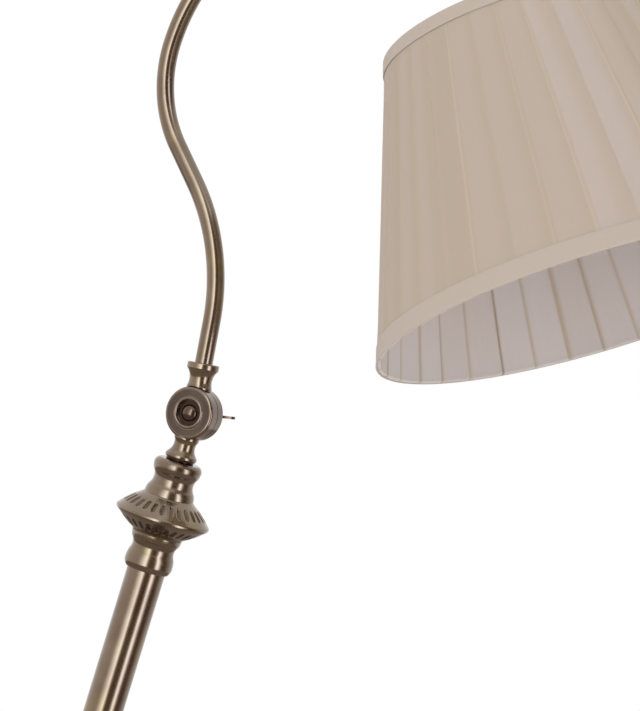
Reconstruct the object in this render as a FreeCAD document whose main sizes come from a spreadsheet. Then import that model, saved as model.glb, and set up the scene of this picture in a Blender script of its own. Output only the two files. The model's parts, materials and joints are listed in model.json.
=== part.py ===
import FreeCAD, Part

# Bridge floor lamp: a weighted round foot, a two-section pole, a turned finial with a fluted knop,
# a friction knuckle with a wing nut, and a swan-neck arm that carries a pleated cone shade.
# Origin: middle of the foot, on the floor. +Z is up, and the arm reaches out along +X.

import math
import os
import re

import Sketcher
from FreeCAD import Placement, Rotation, Vector

# Driving dimensions: millimetres, degrees and counts. Radial sizes are radii.
SIZES = {
    # fits
    "fit": 0.15,  # radial play between pieces that slide together
    "joint_gap": 0.3,  # room between curved faces that turn past each other
    "face_gap": 0.15,  # room between flat faces that turn on each other
    "overcut": 1.0,  # how far a cutting shape stands past the face it opens
    # foot
    "pad_thickness": 3.0,
    "pad_margin": 5.0,
    "base_radius": 130.0,
    "base_wall": 1.2,
    "foot_height": 10.0,
    "shoulder_radius": 6.0,
    "ledge_width": 9.0,
    "ledge_step": 2.0,
    "cove_width": 27.0,
    "cove_rise": 9.0,
    "cove_bow": 4.05,
    "crown_bead": 4.0,
    "crown_rise": 12.0,
    "crown_bow": 2.4,
    "crown_margin": 3.8,
    "weight_inset": 20.0,
    "boss_inset": 3.0,
    "nut_recess_radius": 19.0,
    "nut_recess_depth": 9.0,
    "lead_channel_width": 10.0,
    "lead_channel_depth": 9.0,
    "gland_height": 5.4,
    "gland_radius": 3.9,
    "gland_bore": 3.0,
    "gland_flange": 5.2,
    "gland_flange_thickness": 1.6,
    "gland_length": 12.0,
    # threaded nipples, plugs and nuts
    "nipple_radius": 5.0,
    "nipple_inset": 1.0,
    "wireway_radius": 3.2,
    "nut_flats": 17.0,
    "nut_height": 5.0,
    "washer_radius": 15.0,
    "washer_thickness": 1.5,
    "plug_length": 14.0,
    # pole
    "pole_radius": 13.0,
    "pole_wall": 1.0,
    "pole_section": 502.0,
    "pole_seat": 8.0,
    "band_radius": 14.8,
    "band_overlap": 6.0,
    "band_web": 2.0,
    "band_edge": 0.7,
    # collar: the small vase that ends the pole at the top and, upside down, at the foot
    "collar_height": 24.5,
    "collar_lip": 14.5,
    "collar_lip_bow": 0.75,
    "collar_bead": 16.3,
    "collar_bead_height": 6.0,
    "collar_bead_bow": 0.35,
    "collar_neck": 15.1,
    "collar_neck_start": 12.0,
    "collar_neck_bow": 0.7,
    "collar_neck_end": 18.4,
    "collar_flare": 0.8,
    "collar_flare_rise": 1.9,
    "collar_flare_bow": 0.12,
    "collar_top": 17.2,
    "collar_wall": 4.0,
    "collar_cavity": 10.5,
    # fluted knop
    "knop_height": 27.0,
    "knop_radius": 32.1,
    "knop_rim_height": 12.7,
    "knop_rim_half": 1.9,
    "knop_rim_bow": 1.05,
    "knop_foot_lip": 0.4,
    "knop_foot_rise": 0.9,
    "knop_foot_bow": 0.35,
    "knop_top": 17.0,
    "knop_top_lip": 1.2,
    "knop_top_drop": 1.1,
    "knop_top_bow": 0.5,
    "knop_wall": 3.5,
    "flute_count": 28,
    "flute_angle": 6.4,
    "flute_depth": 0.9,
    "flute_start": 0.16,  # shares of the slope, from its inner end
    "flute_end": 0.76,
    "flute_flare": 0.04,
    # cup over the knop
    "cup_height": 24.5,
    "cup_foot": 16.9,
    "cup_foot_bow": 0.35,
    "cup_waist": 15.6,
    "cup_waist_height": 5.4,
    "cup_neck": 15.4,
    "cup_neck_height": 15.8,
    "cup_neck_bow": 1.8,
    "cup_collar_bow": 0.15,
    "cup_shoulder": 16.35,
    "cup_shoulder_height": 19.6,
    "cup_shoulder_bow": 1.05,
    "cup_mouth": 13.4,
    "cup_wall": 4.2,
    "cup_cavity": 10.5,
    "ring_radius": 9.2,
    "ring_thickness": 1.6,
    "ring_bow": 0.2,
    # knuckle
    "drum_radius": 17.8,
    "drum_half": 8.5,
    "drum_edge": 1.9,
    "drum_parting": 0.3,
    "chamber_radius": 14.6,
    "chamber_hub": 7.0,
    "chamber_depth": 4.3,
    "recess_radius": 8.75,
    "recess_depth": 2.0,
    "bezel_radius": 10.8,
    "bezel_height": 0.9,
    "bezel_step": 0.1,
    "stem_root": 8.5,
    "stem_overlap": 3.0,
    "stem_drop": 31.7,
    "stem_waist": 7.3,
    "stem_bead": 10.2,
    "stem_bead_height": 3.1,
    "stem_bead_bow": 0.6,
    "stem_fillet": 1.0,
    "stem_fillet_rise": 1.2,
    "nipple_entry": 9.2,
    "nipple_room": 0.5,
    "chamber_inlet": 1.5,
    "socket_rise": 34.0,
    "socket_waist": 7.65,
    "socket_rim": 10.7,
    "socket_rim_height": 3.8,
    "socket_fillet": 1.5,
    "socket_fillet_drop": 2.0,
    "socket_edge": 1.0,
    "socket_depth": 12.0,
    "friction_thickness": 0.3,
    "friction_width": 2.4,
    "friction_inset": 0.3,
    "bolt_radius": 3.0,
    "bolt_head_radius": 5.6,
    "bolt_head_height": 3.9,
    "bolt_head_side": 1.0,
    "bolt_tail": 2.5,
    "bolt_bevel": 0.6,
    "spring_radius": 7.2,
    "spring_thickness": 1.2,
    "nut_boss_foot": 6.6,
    "nut_boss_top": 5.0,
    "nut_boss_height": 8.0,
    "wing_span": 19.5,
    "wing_reach": 17.5,
    "wing_root_in": 0.6,
    "wing_foot": 0.8,
    "wing_foot_bow": 0.8,
    "wing_lobe_in": 1.2,
    "wing_lobe_rise": 9.5,
    "wing_lobe_bow": 2.3,
    "wing_tip_in": 3.9,
    "wing_tip_bow": 1.6,
    "wing_thickness": 1.8,
    "wing_angle": 12.0,
    # arm: a straight leg, a sweep back, a straight, and two arcs over to the shade
    "arm_lean": 7.23,
    "arm_radius": 6.0,
    "arm_wall": 1.2,
    "arm_leg": 61.7,
    "back_bend": 142.1,
    "back_turn": 39.19,
    "back_straight": 29.1,
    "rise_bend": 88.4,
    "rise_turn": 48.03,
    "crook_bend": 132.1,
    "crook_turn": 141.88,
    "arm_tail": 8.0,
    # lampholder, below the end of the arm
    "bush_flange": 8.0,
    "bush_flange_thickness": 3.5,
    "bush_spigot": 7.0,
    "stub_length": 10.0,
    "entry_nut_flats": 14.0,
    "entry_nut_height": 3.0,
    "cap_radius": 18.6,
    "cap_wall": 1.2,
    "cap_height": 23.8,
    "cap_straight": 13.0,
    "cap_crown": 9.6,
    "cap_bow": 2.4,
    "skirt_radius": 19.4,
    "skirt_bore": 15.6,
    "skirt_neck": 7.0,
    "skirt_length": 26.7,
    "flange_radius": 21.6,
    "flange_thickness": 1.5,
    "insert_height": 28.0,
    "insert_rise": 4.0,
    "insert_floor": 6.0,
    "shell_radius": 14.1,
    "shell_wall": 0.7,
    "shell_length": 21.5,
    "contact_radius": 4.0,
    "contact_height": 2.4,
    "contact_foot": 1.0,
    "ring_nut_radius": 26.0,
    "ring_nut_height": 5.0,
    "ring_nut_taper": 3.0,
    "ring_nut_bow": 1.2,
    "ring_nut_edge": 1.2,
    # lamp
    "lamp_cap_radius": 13.1,
    "lamp_cap_length": 23.0,
    "lamp_cap_land": 4.0,
    "lamp_cap_land_rise": 2.7,
    "lamp_cap_shoulder": 9.2,
    "lamp_cap_tip": 4.6,
    "lamp_play": 0.3,
    "glass_radius": 30.0,
    "glass_length": 84.0,
    "glass_wall": 1.0,
    "glass_bow": 1.5,
    "glass_waist": 24.6,
    "glass_waist_rise": 18.6,
    "glass_waist_bow": 0.9,
    "glass_throat": 14.1,
    "glass_throat_drop": 11.8,
    "glass_mouth": 12.9,
    # shade
    "shade_rise": 3.0,
    "shade_height": 189.7,
    "shade_top": 89.3,
    "shade_bottom": 147.8,
    "trim_height": 13.0,
    "trim_thickness": 0.45,
    "top_hem": 1.5,
    "bottom_hem": 0.75,
    "pleat_count": 36,
    "pleat_depth": 0.8,
    "pleat_fold": 0.1,  # share of a pleat's pitch that its turned edge takes
    "cover_wall": 0.3,
    "backing_wall": 0.4,
    "lining_wall": 0.25,
    "lining_fold": 0.5,
    "layer_gap": 0.15,
    "wire_radius": 1.0,
    "wire_slack": 0.1,  # extra room for a wire beside the slanting cloth
    "spider_radius": 27.0,
    "spider_bore": 20.2,
    "spider_thickness": 1.4,
    "spoke_count": 3,
    "spoke_sag": 5.0,
    "spoke_start": 0.5,
}

QUARTER = "0.2929"  # how far a quarter circle bows out from its chord, per unit of radius

doc = FreeCAD.newDocument("bridge_floor_lamp")
sheet = doc.addObject("Spreadsheet::Sheet", "Sizes")
for row, (name, number) in enumerate(SIZES.items(), start=1):
    sheet.set(f"A{row}", name)
    sheet.set(f"B{row}", str(number))
    sheet.setAlias(f"B{row}", name)
doc.recompute()

ALIASES = re.compile(r"\b(" + "|".join(SIZES) + r")\b")


def bound(text):
    """The expression with each size name turned into a reference to its cell."""
    return ALIASES.sub(r"Sizes.\1", str(text))


def size(text):
    """The present value of an expression of size names."""
    return float(sheet.evalExpression(bound(text)))


# ---------------------------------------------------------------- sketches and features


def add_sketch(body, plane, offset="0"):
    """A sketch on one of the body's own origin planes, moved along the plane's normal by offset."""
    sketch = body.newObject("Sketcher::SketchObject", body.Name + "_sketch")
    origin_plane = next(f for f in body.Origin.OriginFeatures if f.Role == plane)
    sketch.AttachmentSupport = [(origin_plane, "")]
    sketch.MapMode = "FlatFace"
    sketch.setExpression("AttachmentOffset.Base.z", bound(offset))
    return sketch


def pin(sketch, geometry, point, x, y):
    """Holds a point of the sketch at the coordinates that two expressions give."""
    for kind, text, axis in (("DistanceX", x, -2), ("DistanceY", y, -1)):
        if text == "0":
            sketch.addConstraint(Sketcher.Constraint("PointOnObject", geometry, point, axis))
        else:
            index = sketch.addConstraint(Sketcher.Constraint(kind, geometry, point, size(text)))
            sketch.setExpression(f"Constraints[{index}]", bound(text))


def draw(body, plane, corners, closed=True, offset="0"):
    """A sketch through corners (x, y) or (x, y, bow), each an expression. A bow turns the run to the
    next corner into an arc that stands that far off its chord, to the right of the way drawn, so on
    an outline drawn anticlockwise a positive bow swells and a negative one hollows."""
    sketch = add_sketch(body, plane, offset)
    runs = []
    count = len(corners) if closed else len(corners) - 1
    for index in range(count):
        here, there = corners[index], corners[(index + 1) % len(corners)]
        start = Vector(size(here[0]), size(here[1]), 0)
        end = Vector(size(there[0]), size(there[1]), 0)
        if len(here) == 2:
            geometry = sketch.addGeometry(Part.LineSegment(start, end), False)
            runs.append((geometry, 1, 2))
            continue
        bow = size(here[2])
        chord = end - start
        radius = chord.Length**2 / (8 * abs(bow)) + abs(bow) / 2
        right = Vector(chord.y, -chord.x, 0).normalize()
        side = math.copysign(1, bow)
        centre = (start + end) * 0.5 + right * (bow - side * radius)
        first, last = (start, end) if bow > 0 else (end, start)
        angles = [math.atan2(p.y - centre.y, p.x - centre.x) for p in (first, last)]
        circle = Part.Circle(centre, Vector(0, 0, 1), radius)
        geometry = sketch.addGeometry(Part.ArcOfCircle(circle, *angles), False)
        runs.append((geometry, 1, 2) if bow > 0 else (geometry, 2, 1))
        constraint = sketch.addConstraint(Sketcher.Constraint("Radius", geometry, radius))
        chord_square = f"((({there[0]}) - ({here[0]}))^2 + (({there[1]}) - ({here[1]}))^2)"
        rule = f"{chord_square} / (8 * abs({here[2]})) + abs({here[2]}) / 2"
        sketch.setExpression(f"Constraints[{constraint}]", bound(rule))
    for index, (geometry, begin, finish) in enumerate(runs):
        pin(sketch, geometry, begin, corners[index][0], corners[index][1])
        if closed or index + 1 < len(runs):
            after = runs[(index + 1) % len(runs)]
            sketch.addConstraint(Sketcher.Constraint("Coincident", geometry, finish, after[0], after[1]))
        else:
            pin(sketch, geometry, finish, corners[-1][0], corners[-1][1])
    return sketch


def draw_circles(body, plane, radii, x="0", y="0", offset="0"):
    """A sketch of circles round one point."""
    sketch = add_sketch(body, plane, offset)
    for radius in radii:
        circle = Part.Circle(Vector(size(x), size(y), 0), Vector(0, 0, 1), size(radius))
        geometry = sketch.addGeometry(circle, False)
        index = sketch.addConstraint(Sketcher.Constraint("Radius", geometry, size(radius)))
        sketch.setExpression(f"Constraints[{index}]", bound(radius))
        pin(sketch, geometry, 3, x, y)
    return sketch


def new_body(label, frame=("0", "0", "0")):
    """A body whose frame stands at x, z and leans back, towards -X, by an angle."""
    body = doc.addObject("PartDesign::Body", label)
    body.Label = label
    settle(body, frame)
    return body


def settle(item, frame):
    """Binds an object's Placement to a frame given as expressions: x, z and the lean."""
    x, z, lean = frame
    item.Placement = Placement(Vector(size(x), 0, size(z)), Rotation(Vector(0, -1, 0), size(lean)))
    item.setExpression("Placement.Base.x", bound(x))
    item.setExpression("Placement.Base.z", bound(z))
    if lean != "0":
        item.setExpression("Placement.Rotation.Angle", bound(lean))


def origin_axis(body, role):
    return (next(f for f in body.Origin.OriginFeatures if f.Role == role), [""])


def turn(body, sketch, kind="PartDesign::Revolution", angle="360"):
    """Turns a sketch about its own vertical axis: adds to the body, or cuts it as a Groove."""
    feature = body.newObject(kind, body.Name + "_turned")
    feature.Profile = sketch
    feature.ReferenceAxis = (sketch, ["V_Axis"])
    feature.Midplane = True
    feature.setExpression("Angle", bound(angle))
    return feature


def turned(label, corners, frame=("0", "0", "0"), plane="XZ_Plane"):
    """A body made by turning one outline: about Z on XZ_Plane, about Y on XY_Plane."""
    body = new_body(label, frame)
    turn(body, draw(body, plane, corners))
    return body


def pad(body, sketch, length, both_ways=False):
    feature = body.newObject("PartDesign::Pad", body.Name + "_pad")
    feature.Profile = sketch
    feature.Midplane = both_ways
    feature.setExpression("Length", bound(length))
    return feature


def pocket(body, sketch, length, backwards=False):
    """Cuts a sketch into the body, against the sketch's normal or along it when backwards."""
    doc.recompute()
    before = body.Shape.Volume
    feature = body.newObject("PartDesign::Pocket", body.Name + "_pocket")
    feature.Profile = sketch
    feature.Reversed = backwards
    feature.setExpression("Length", bound(length))
    doc.recompute()
    if not body.Shape.Volume < before:
        raise RuntimeError(f"{body.Label}: a pocket cut nothing")
    return feature


def polar_pattern(body, features, count, role="Z_Axis"):
    """Repeats features round one of the body's axes."""
    doc.recompute()
    pattern = body.newObject("PartDesign::PolarPattern", body.Name + "_pattern")
    pattern.Originals = features
    pattern.Axis = origin_axis(body, role)
    pattern.Angle = 360
    pattern.setExpression("Occurrences", bound(count))
    body.Tip = pattern
    return pattern


def pipe(body, route, section):
    """Carries a section sketch along a route sketch."""
    feature = body.newObject("PartDesign::AdditivePipe", body.Name + "_pipe")
    feature.Profile = section
    feature.Spine = (route, [])
    return feature


def thin_wall(outer, wall):
    """Closes an outer outline, drawn from its foot up and inwards, into a sheet-metal wall: the inner
    face is the outer one moved in and down by the wall."""
    foot, top = outer[0], outer[-1]
    inner = [(f"({foot[0]}) - {wall}", foot[1])]
    inner += [(f"({c[0]}) - {wall}", f"({c[1]}) - {wall}") for c in outer[1:-1]]
    inner.append((top[0], f"({top[1]}) - {wall}"))
    bows = [c[2] if len(c) == 3 else None for c in outer[:-1]]
    back = [inner[-1]]
    for corner, bow in zip(reversed(inner[:-1]), reversed(bows)):
        if bow is not None:
            back[-1] = (*back[-1], f"-({bow})")
        back.append(corner)
    return outer + back


def mirrored(corners):
    """The outline reflected in the x axis and still drawn anticlockwise."""
    flipped = [(c[0], "0" if c[1] == "0" else f"-({c[1]})") for c in corners]
    bows = [c[2] if len(c) == 3 else None for c in corners]
    result = []
    for index in range(len(corners) - 1, -1, -1):
        bow = bows[index - 1]
        result.append(flipped[index] if bow is None else (*flipped[index], bow))
    return result


# ---------------------------------------------------------------- where things stand

NIPPLE_HOLE = "(nipple_radius + fit)"
SHOULDER = "(pad_thickness + foot_height + shoulder_radius)"
COVE_TOP = f"({SHOULDER} + ledge_step + cove_rise)"
CROWN = f"({COVE_TOP} + crown_bead + crown_rise)"
CROWN_LAND = "(collar_top + crown_margin)"
POLE_FOOT = f"({CROWN} + collar_height - pole_seat)"
BAND = f"({POLE_FOOT} + pole_section)"
POLE_TOP = f"({BAND} + band_web + pole_section)"
COLLAR = f"({POLE_TOP} - pole_seat)"
KNOP = f"({COLLAR} + collar_height)"
CUP = f"({KNOP} + knop_height)"
RING = f"({CUP} + cup_height)"
STEM = f"({RING} + ring_thickness)"
AXIS = f"({STEM} + stem_drop)"
STAND = ("0", "0", "0")
PIVOT = ("0", AXIS, "0")
ARM = ("0", AXIS, "arm_lean")


def arc_step(radius, start, turned_by):
    """How far an arc goes in x and z, for a heading measured from +Z towards +X. Its radius carries
    the sign of its turn."""
    end = f"({start} + {turned_by})"
    across = f"({radius}) * (cos({start}) - cos{end})"
    along = f"({radius}) * (sin{end} - sin({start}))"
    return across, along, end


def arm_route():
    """The arm's centreline in its own frame, which leans with the leg: corners and the last heading."""
    x, z, heading = "0", "arm_leg", "0"
    corners = [("0", "socket_rise - socket_depth"), (x, z)]
    runs = (
        ("arc", "-back_bend", "-back_turn"),
        ("line", "back_straight", None),
        ("arc", "rise_bend", "rise_turn"),
        ("arc", "crook_bend", "crook_turn"),
        ("line", "arm_tail", None),
    )
    for kind, length, turned_by in runs:
        if kind == "arc":
            # a turn towards +X swells to the left of the way drawn
            bow = f"-({length}) * (1 - cos(({turned_by}) / 2))"
            corners[-1] = (*corners[-1], bow)
            across, along, heading = arc_step(length, heading, turned_by)
        else:
            across, along = f"{length} * sin({heading})", f"{length} * cos({heading})"
        x, z = f"({x} + {across})", f"({z} + {along})"
        corners.append((x, z))
    return corners, heading


ROUTE, HEADING = arm_route()
ARM_END_X, ARM_END_Z = ROUTE[-1]
HEAD = (
    f"({ARM_END_X}) * cos(arm_lean) - ({ARM_END_Z}) * sin(arm_lean)",
    f"{AXIS} + ({ARM_END_X}) * sin(arm_lean) + ({ARM_END_Z}) * cos(arm_lean)",
    f"180 - {HEADING} + arm_lean",
)


# ---------------------------------------------------------------- foot


def make_base_pad():
    felt = doc.addObject("Part::Cylinder", "base_pad")
    felt.setExpression("Radius", bound("base_radius - pad_margin"))
    felt.setExpression("Height", bound("pad_thickness"))
    return felt


def base_profile():
    """The foot's outer outline from the floor edge up: rim, rounded shoulder, ledge, cove, crown."""
    ledge = "(base_radius - shoulder_radius - ledge_width)"
    cove = f"({ledge} - cove_width)"
    return [
        ("base_radius", "pad_thickness"),
        ("base_radius", "pad_thickness + foot_height", f"shoulder_radius * {QUARTER}"),
        ("base_radius - shoulder_radius", SHOULDER),
        (ledge, SHOULDER),
        (ledge, f"{SHOULDER} + ledge_step", "-cove_bow"),
        (cove, COVE_TOP, f"crown_bead * {QUARTER}"),
        (f"{cove} - crown_bead", f"{COVE_TOP} + crown_bead", "-crown_bow"),
        (CROWN_LAND, CROWN),
        (NIPPLE_HOLE, CROWN),
    ]


def make_base_cover():
    body = turned("base_cover", thin_wall(base_profile(), "base_wall"))
    hole = draw_circles(
        body, "YZ_Plane", ["gland_radius + fit"], y="pad_thickness + gland_height",
        offset="-(base_radius + base_wall)",
    )
    pocket(body, hole, "gland_length", backwards=True)
    return body


def make_base_weight():
    """Cast disc under the cover, with a boss up to the crown, a nut recess and a channel for the lead."""
    top = f"({SHOULDER} - base_wall)"
    boss = f"({CROWN} - base_wall)"
    recess = "(pad_thickness + nut_recess_depth)"
    edge = "(base_radius - weight_inset)"
    boss_edge = f"({CROWN_LAND} - boss_inset)"
    body = turned(
        "base_weight",
        [
            ("nut_recess_radius", "pad_thickness"),
            (edge, "pad_thickness"),
            (edge, top),
            (boss_edge, top),
            (boss_edge, boss),
            (NIPPLE_HOLE, boss),
            (NIPPLE_HOLE, recess),
            ("nut_recess_radius", recess),
        ],
    )
    channel = draw(
        body, "YZ_Plane",
        [
            ("-lead_channel_width / 2", "pad_thickness - overcut"),
            ("lead_channel_width / 2", "pad_thickness - overcut"),
            ("lead_channel_width / 2", "pad_thickness + lead_channel_depth"),
            ("-lead_channel_width / 2", "pad_thickness + lead_channel_depth"),
        ],
        offset=f"-({edge} + overcut)",
    )
    pocket(body, channel, f"{edge} + overcut - nut_recess_radius / 2", backwards=True)
    return body


def make_cable_gland():
    """Flanged bush in the back of the foot, where a lead would enter."""
    body = new_body("cable_gland")
    height = "pad_thickness + gland_height"
    outer_face = "-(base_radius + gland_flange_thickness)"
    flange = draw_circles(body, "YZ_Plane", ["gland_flange", "gland_bore"], y=height, offset=outer_face)
    pad(body, flange, "gland_flange_thickness")
    barrel = draw_circles(body, "YZ_Plane", ["gland_radius", "gland_bore"], y=height, offset=outer_face)
    pad(body, barrel, "gland_flange_thickness + gland_length")
    return body


def make_nipple(label, foot, top):
    """Hollow threaded rod that the pieces of the column are drawn together by."""
    return turned(
        label,
        [("wireway_radius", foot), ("nipple_radius", foot), ("nipple_radius", top), ("wireway_radius", top)],
    )


def make_hex_nut(label, flats, height, foot, frame=STAND):
    """Hexagonal nut with its bore on the frame's axis."""
    body = new_body(label, frame)
    half, corner = f"({flats} / 2)", f"({flats} / sqrt(3))"
    side = f"({corner} / 2)"
    hexagon = [
        (corner, "0"), (side, half), (f"-{side}", half),
        (f"-{corner}", "0"), (f"-{side}", f"-{half}"), (side, f"-{half}"),
    ]
    pad(body, draw(body, "XY_Plane", hexagon, offset=foot), height)
    bore = draw_circles(body, "XY_Plane", [NIPPLE_HOLE], offset=f"{foot} + {height}")
    pocket(body, bore, height)
    return body


def make_base_fixings():
    washer_top = "(pad_thickness + nut_recess_depth)"
    washer_foot = f"({washer_top} - washer_thickness)"
    turned(
        "base_washer",
        [
            (NIPPLE_HOLE, washer_foot), ("washer_radius", washer_foot),
            ("washer_radius", washer_top), (NIPPLE_HOLE, washer_top),
        ],
    )
    make_hex_nut("base_nut", "nut_flats", "nut_height", f"({washer_foot} - nut_height)")
    make_nipple("base_nipple", "pad_thickness + nipple_inset", f"{POLE_FOOT} + plug_length")


# ---------------------------------------------------------------- pole


def make_pole_tube(label, foot):
    inner = "(pole_radius - pole_wall)"
    top = f"({foot} + pole_section)"
    return turned(label, [(inner, foot), ("pole_radius", foot), ("pole_radius", top), (inner, top)])


def make_plug(label, foot):
    """Threaded bush fixed inside an end of a pole tube."""
    edge, top = "(pole_radius - pole_wall - fit)", f"({foot} + plug_length)"
    return turned(label, [(NIPPLE_HOLE, foot), (edge, foot), (edge, top), (NIPPLE_HOLE, top)])


def make_pole():
    make_pole_tube("pole_lower", POLE_FOOT)
    make_pole_tube("pole_upper", f"({BAND} + band_web)")
    make_plug("foot_plug", POLE_FOOT)
    make_plug("lower_joint_plug", f"({BAND} - plug_length)")
    make_plug("upper_joint_plug", f"({BAND} + band_web)")
    make_plug("head_plug", f"({POLE_TOP} - plug_length)")
    make_nipple("joint_nipple", f"{BAND} - plug_length", f"{BAND} + band_web + plug_length")
    make_nipple("head_nipple", f"{POLE_TOP} - plug_length", f"{STEM} + nipple_entry")
    socket = "(pole_radius + fit)"
    low, high = f"({BAND} - band_overlap)", f"({BAND} + band_web + band_overlap)"
    edge_bow = f"band_edge * {QUARTER}"
    turned(
        "pole_band",
        [
            (socket, low), ("band_radius - band_edge", low, edge_bow), ("band_radius", f"{low} + band_edge"),
            ("band_radius", f"{high} - band_edge", edge_bow), ("band_radius - band_edge", high), (socket, high),
            (socket, f"{BAND} + band_web"), (NIPPLE_HOLE, f"{BAND} + band_web"),
            (NIPPLE_HOLE, BAND), (socket, BAND),
        ],
    )


def collar_profile():
    """The collar from its pole end, at z = 0, up to its flared end."""
    web, socket = "(collar_height - collar_wall)", "(pole_radius + fit)"
    return [
        (socket, "0"),
        ("collar_lip", "0", "collar_lip_bow"),
        ("collar_bead", "collar_bead_height", "collar_bead_bow"),
        ("collar_neck", "collar_neck_start", "-collar_neck_bow"),
        ("collar_neck", "collar_neck_end", "-collar_flare_bow"),
        ("collar_top - collar_flare", "collar_neck_end + collar_flare_rise", "collar_flare_bow"),
        ("collar_top", "collar_height"),
        (NIPPLE_HOLE, "collar_height"),
        (NIPPLE_HOLE, web),
        ("collar_cavity", web),
        ("collar_cavity", "pole_seat"),
        (socket, "pole_seat"),
    ]


# ---------------------------------------------------------------- finial


def make_knop():
    """Double cone with a ring of short flutes on each slope."""
    low = ("(knop_radius - knop_rim_bow)", "(knop_rim_height - knop_rim_half)")
    high = ("(knop_radius - knop_rim_bow)", "(knop_rim_height + knop_rim_half)")
    foot = ("(collar_top + knop_foot_lip)", "knop_foot_rise")
    crown = ("(knop_top + knop_top_lip)", "(knop_height - knop_top_drop)")
    inner_foot, inner_edge = "(collar_top - knop_wall)", "(knop_radius - 2 * knop_wall)"
    body = turned(
        "fluted_knop",
        [
            (inner_foot, "0"), ("collar_top", "0"), (*foot, "knop_foot_bow"), (*low, "knop_rim_bow"),
            (*high, "knop_top_bow"), crown, ("knop_top", "knop_height"),
            (NIPPLE_HOLE, "knop_height"), (NIPPLE_HOLE, "knop_height - knop_wall"),
            (inner_foot, "knop_height - knop_wall"), (inner_edge, high[1]), (inner_edge, low[1]),
            (inner_foot, "knop_wall"),
        ],
        frame=("0", KNOP, "0"),
    )
    cuts = [make_flute(body, crown, high, "1"), make_flute(body, foot, low, "-1")]
    return polar_pattern(body, cuts, "flute_count")


def make_flute(body, inner, outer, side):
    """One flute down a slope, from near its inner end to short of the rim. side is 1 on the upper
    slope and -1 on the lower."""

    def on_slope(share, lift):
        x = f"({inner[0]} + ({outer[0]} - {inner[0]}) * {share})"
        z = f"({inner[1]} + ({outer[1]} - {inner[1]}) * {share} + {side} * ({lift}))"
        return x, z

    corners = [
        on_slope("flute_start", "-flute_depth"), on_slope("flute_end", "-flute_depth"),
        on_slope("(flute_end + flute_flare)", "overcut"), on_slope("(flute_start - flute_flare)", "overcut"),
    ]
    return turn(body, draw(body, "XZ_Plane", corners), "PartDesign::Groove", "flute_angle")


def make_cup():
    web = "(cup_height - cup_wall)"
    return turned(
        "neck_cup",
        [
            ("cup_cavity", "0"),
            ("cup_foot", "0", "cup_foot_bow"),
            ("cup_waist", "cup_waist_height", "-cup_neck_bow"),
            ("cup_neck", "cup_neck_height", "cup_collar_bow"),
            ("cup_shoulder", "cup_shoulder_height", "cup_shoulder_bow"),
            ("cup_mouth", "cup_height"),
            (NIPPLE_HOLE, "cup_height"),
            (NIPPLE_HOLE, web),
            ("cup_cavity", web),
        ],
        frame=("0", CUP, "0"),
    )


def make_neck_ring():
    return turned(
        "neck_ring",
        [
            (NIPPLE_HOLE, "0"), ("ring_radius", "0", "ring_bow"),
            ("ring_radius", "ring_thickness"), (NIPPLE_HOLE, "ring_thickness"),
        ],
        frame=("0", RING, "0"),
    )


# ---------------------------------------------------------------- knuckle

RECESS_FLOOR = "(drum_half - recess_depth)"
NUT_FACE = f"({RECESS_FLOOR} + 2 * face_gap + spring_thickness)"


def drum_profile():
    """Half of the knuckle's drum, on the -Y side: screw recess, bezel, rounded edge, lead chamber."""
    chamber = "-(drum_parting + chamber_depth)"
    bolt_hole = "(bolt_radius + fit)"
    return [
        (bolt_hole, f"-{RECESS_FLOOR}"),
        ("recess_radius", f"-{RECESS_FLOOR}"),
        ("recess_radius", "-(drum_half + bezel_step)", "bezel_height"),
        ("bezel_radius", "-drum_half"),
        ("drum_radius - drum_edge", "-drum_half", f"drum_edge * {QUARTER}"),
        ("drum_radius", "-(drum_half - drum_edge)"),
        ("drum_radius", "-drum_parting"),
        ("chamber_radius", "-drum_parting"),
        ("chamber_radius", chamber),
        ("chamber_hub", chamber),
        ("chamber_hub", "-drum_parting"),
        (bolt_hole, "-drum_parting"),
    ]


def make_knuckle_half(label, frame, drum, stem, bore, offset, backwards):
    """A drum half with its stem. The stem stands on the middle of the whole drum, so it is cut away
    where the other half turns."""
    body = turned(label, drum, frame=frame, plane="XY_Plane")
    turn(body, draw(body, "XZ_Plane", stem))
    turn(body, draw(body, "XZ_Plane", bore), "PartDesign::Groove")
    sweep = draw_circles(body, "XZ_Plane", ["drum_radius + joint_gap"], offset=offset)
    pocket(body, sweep, "2 * drum_half", backwards=backwards)
    return body


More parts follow.
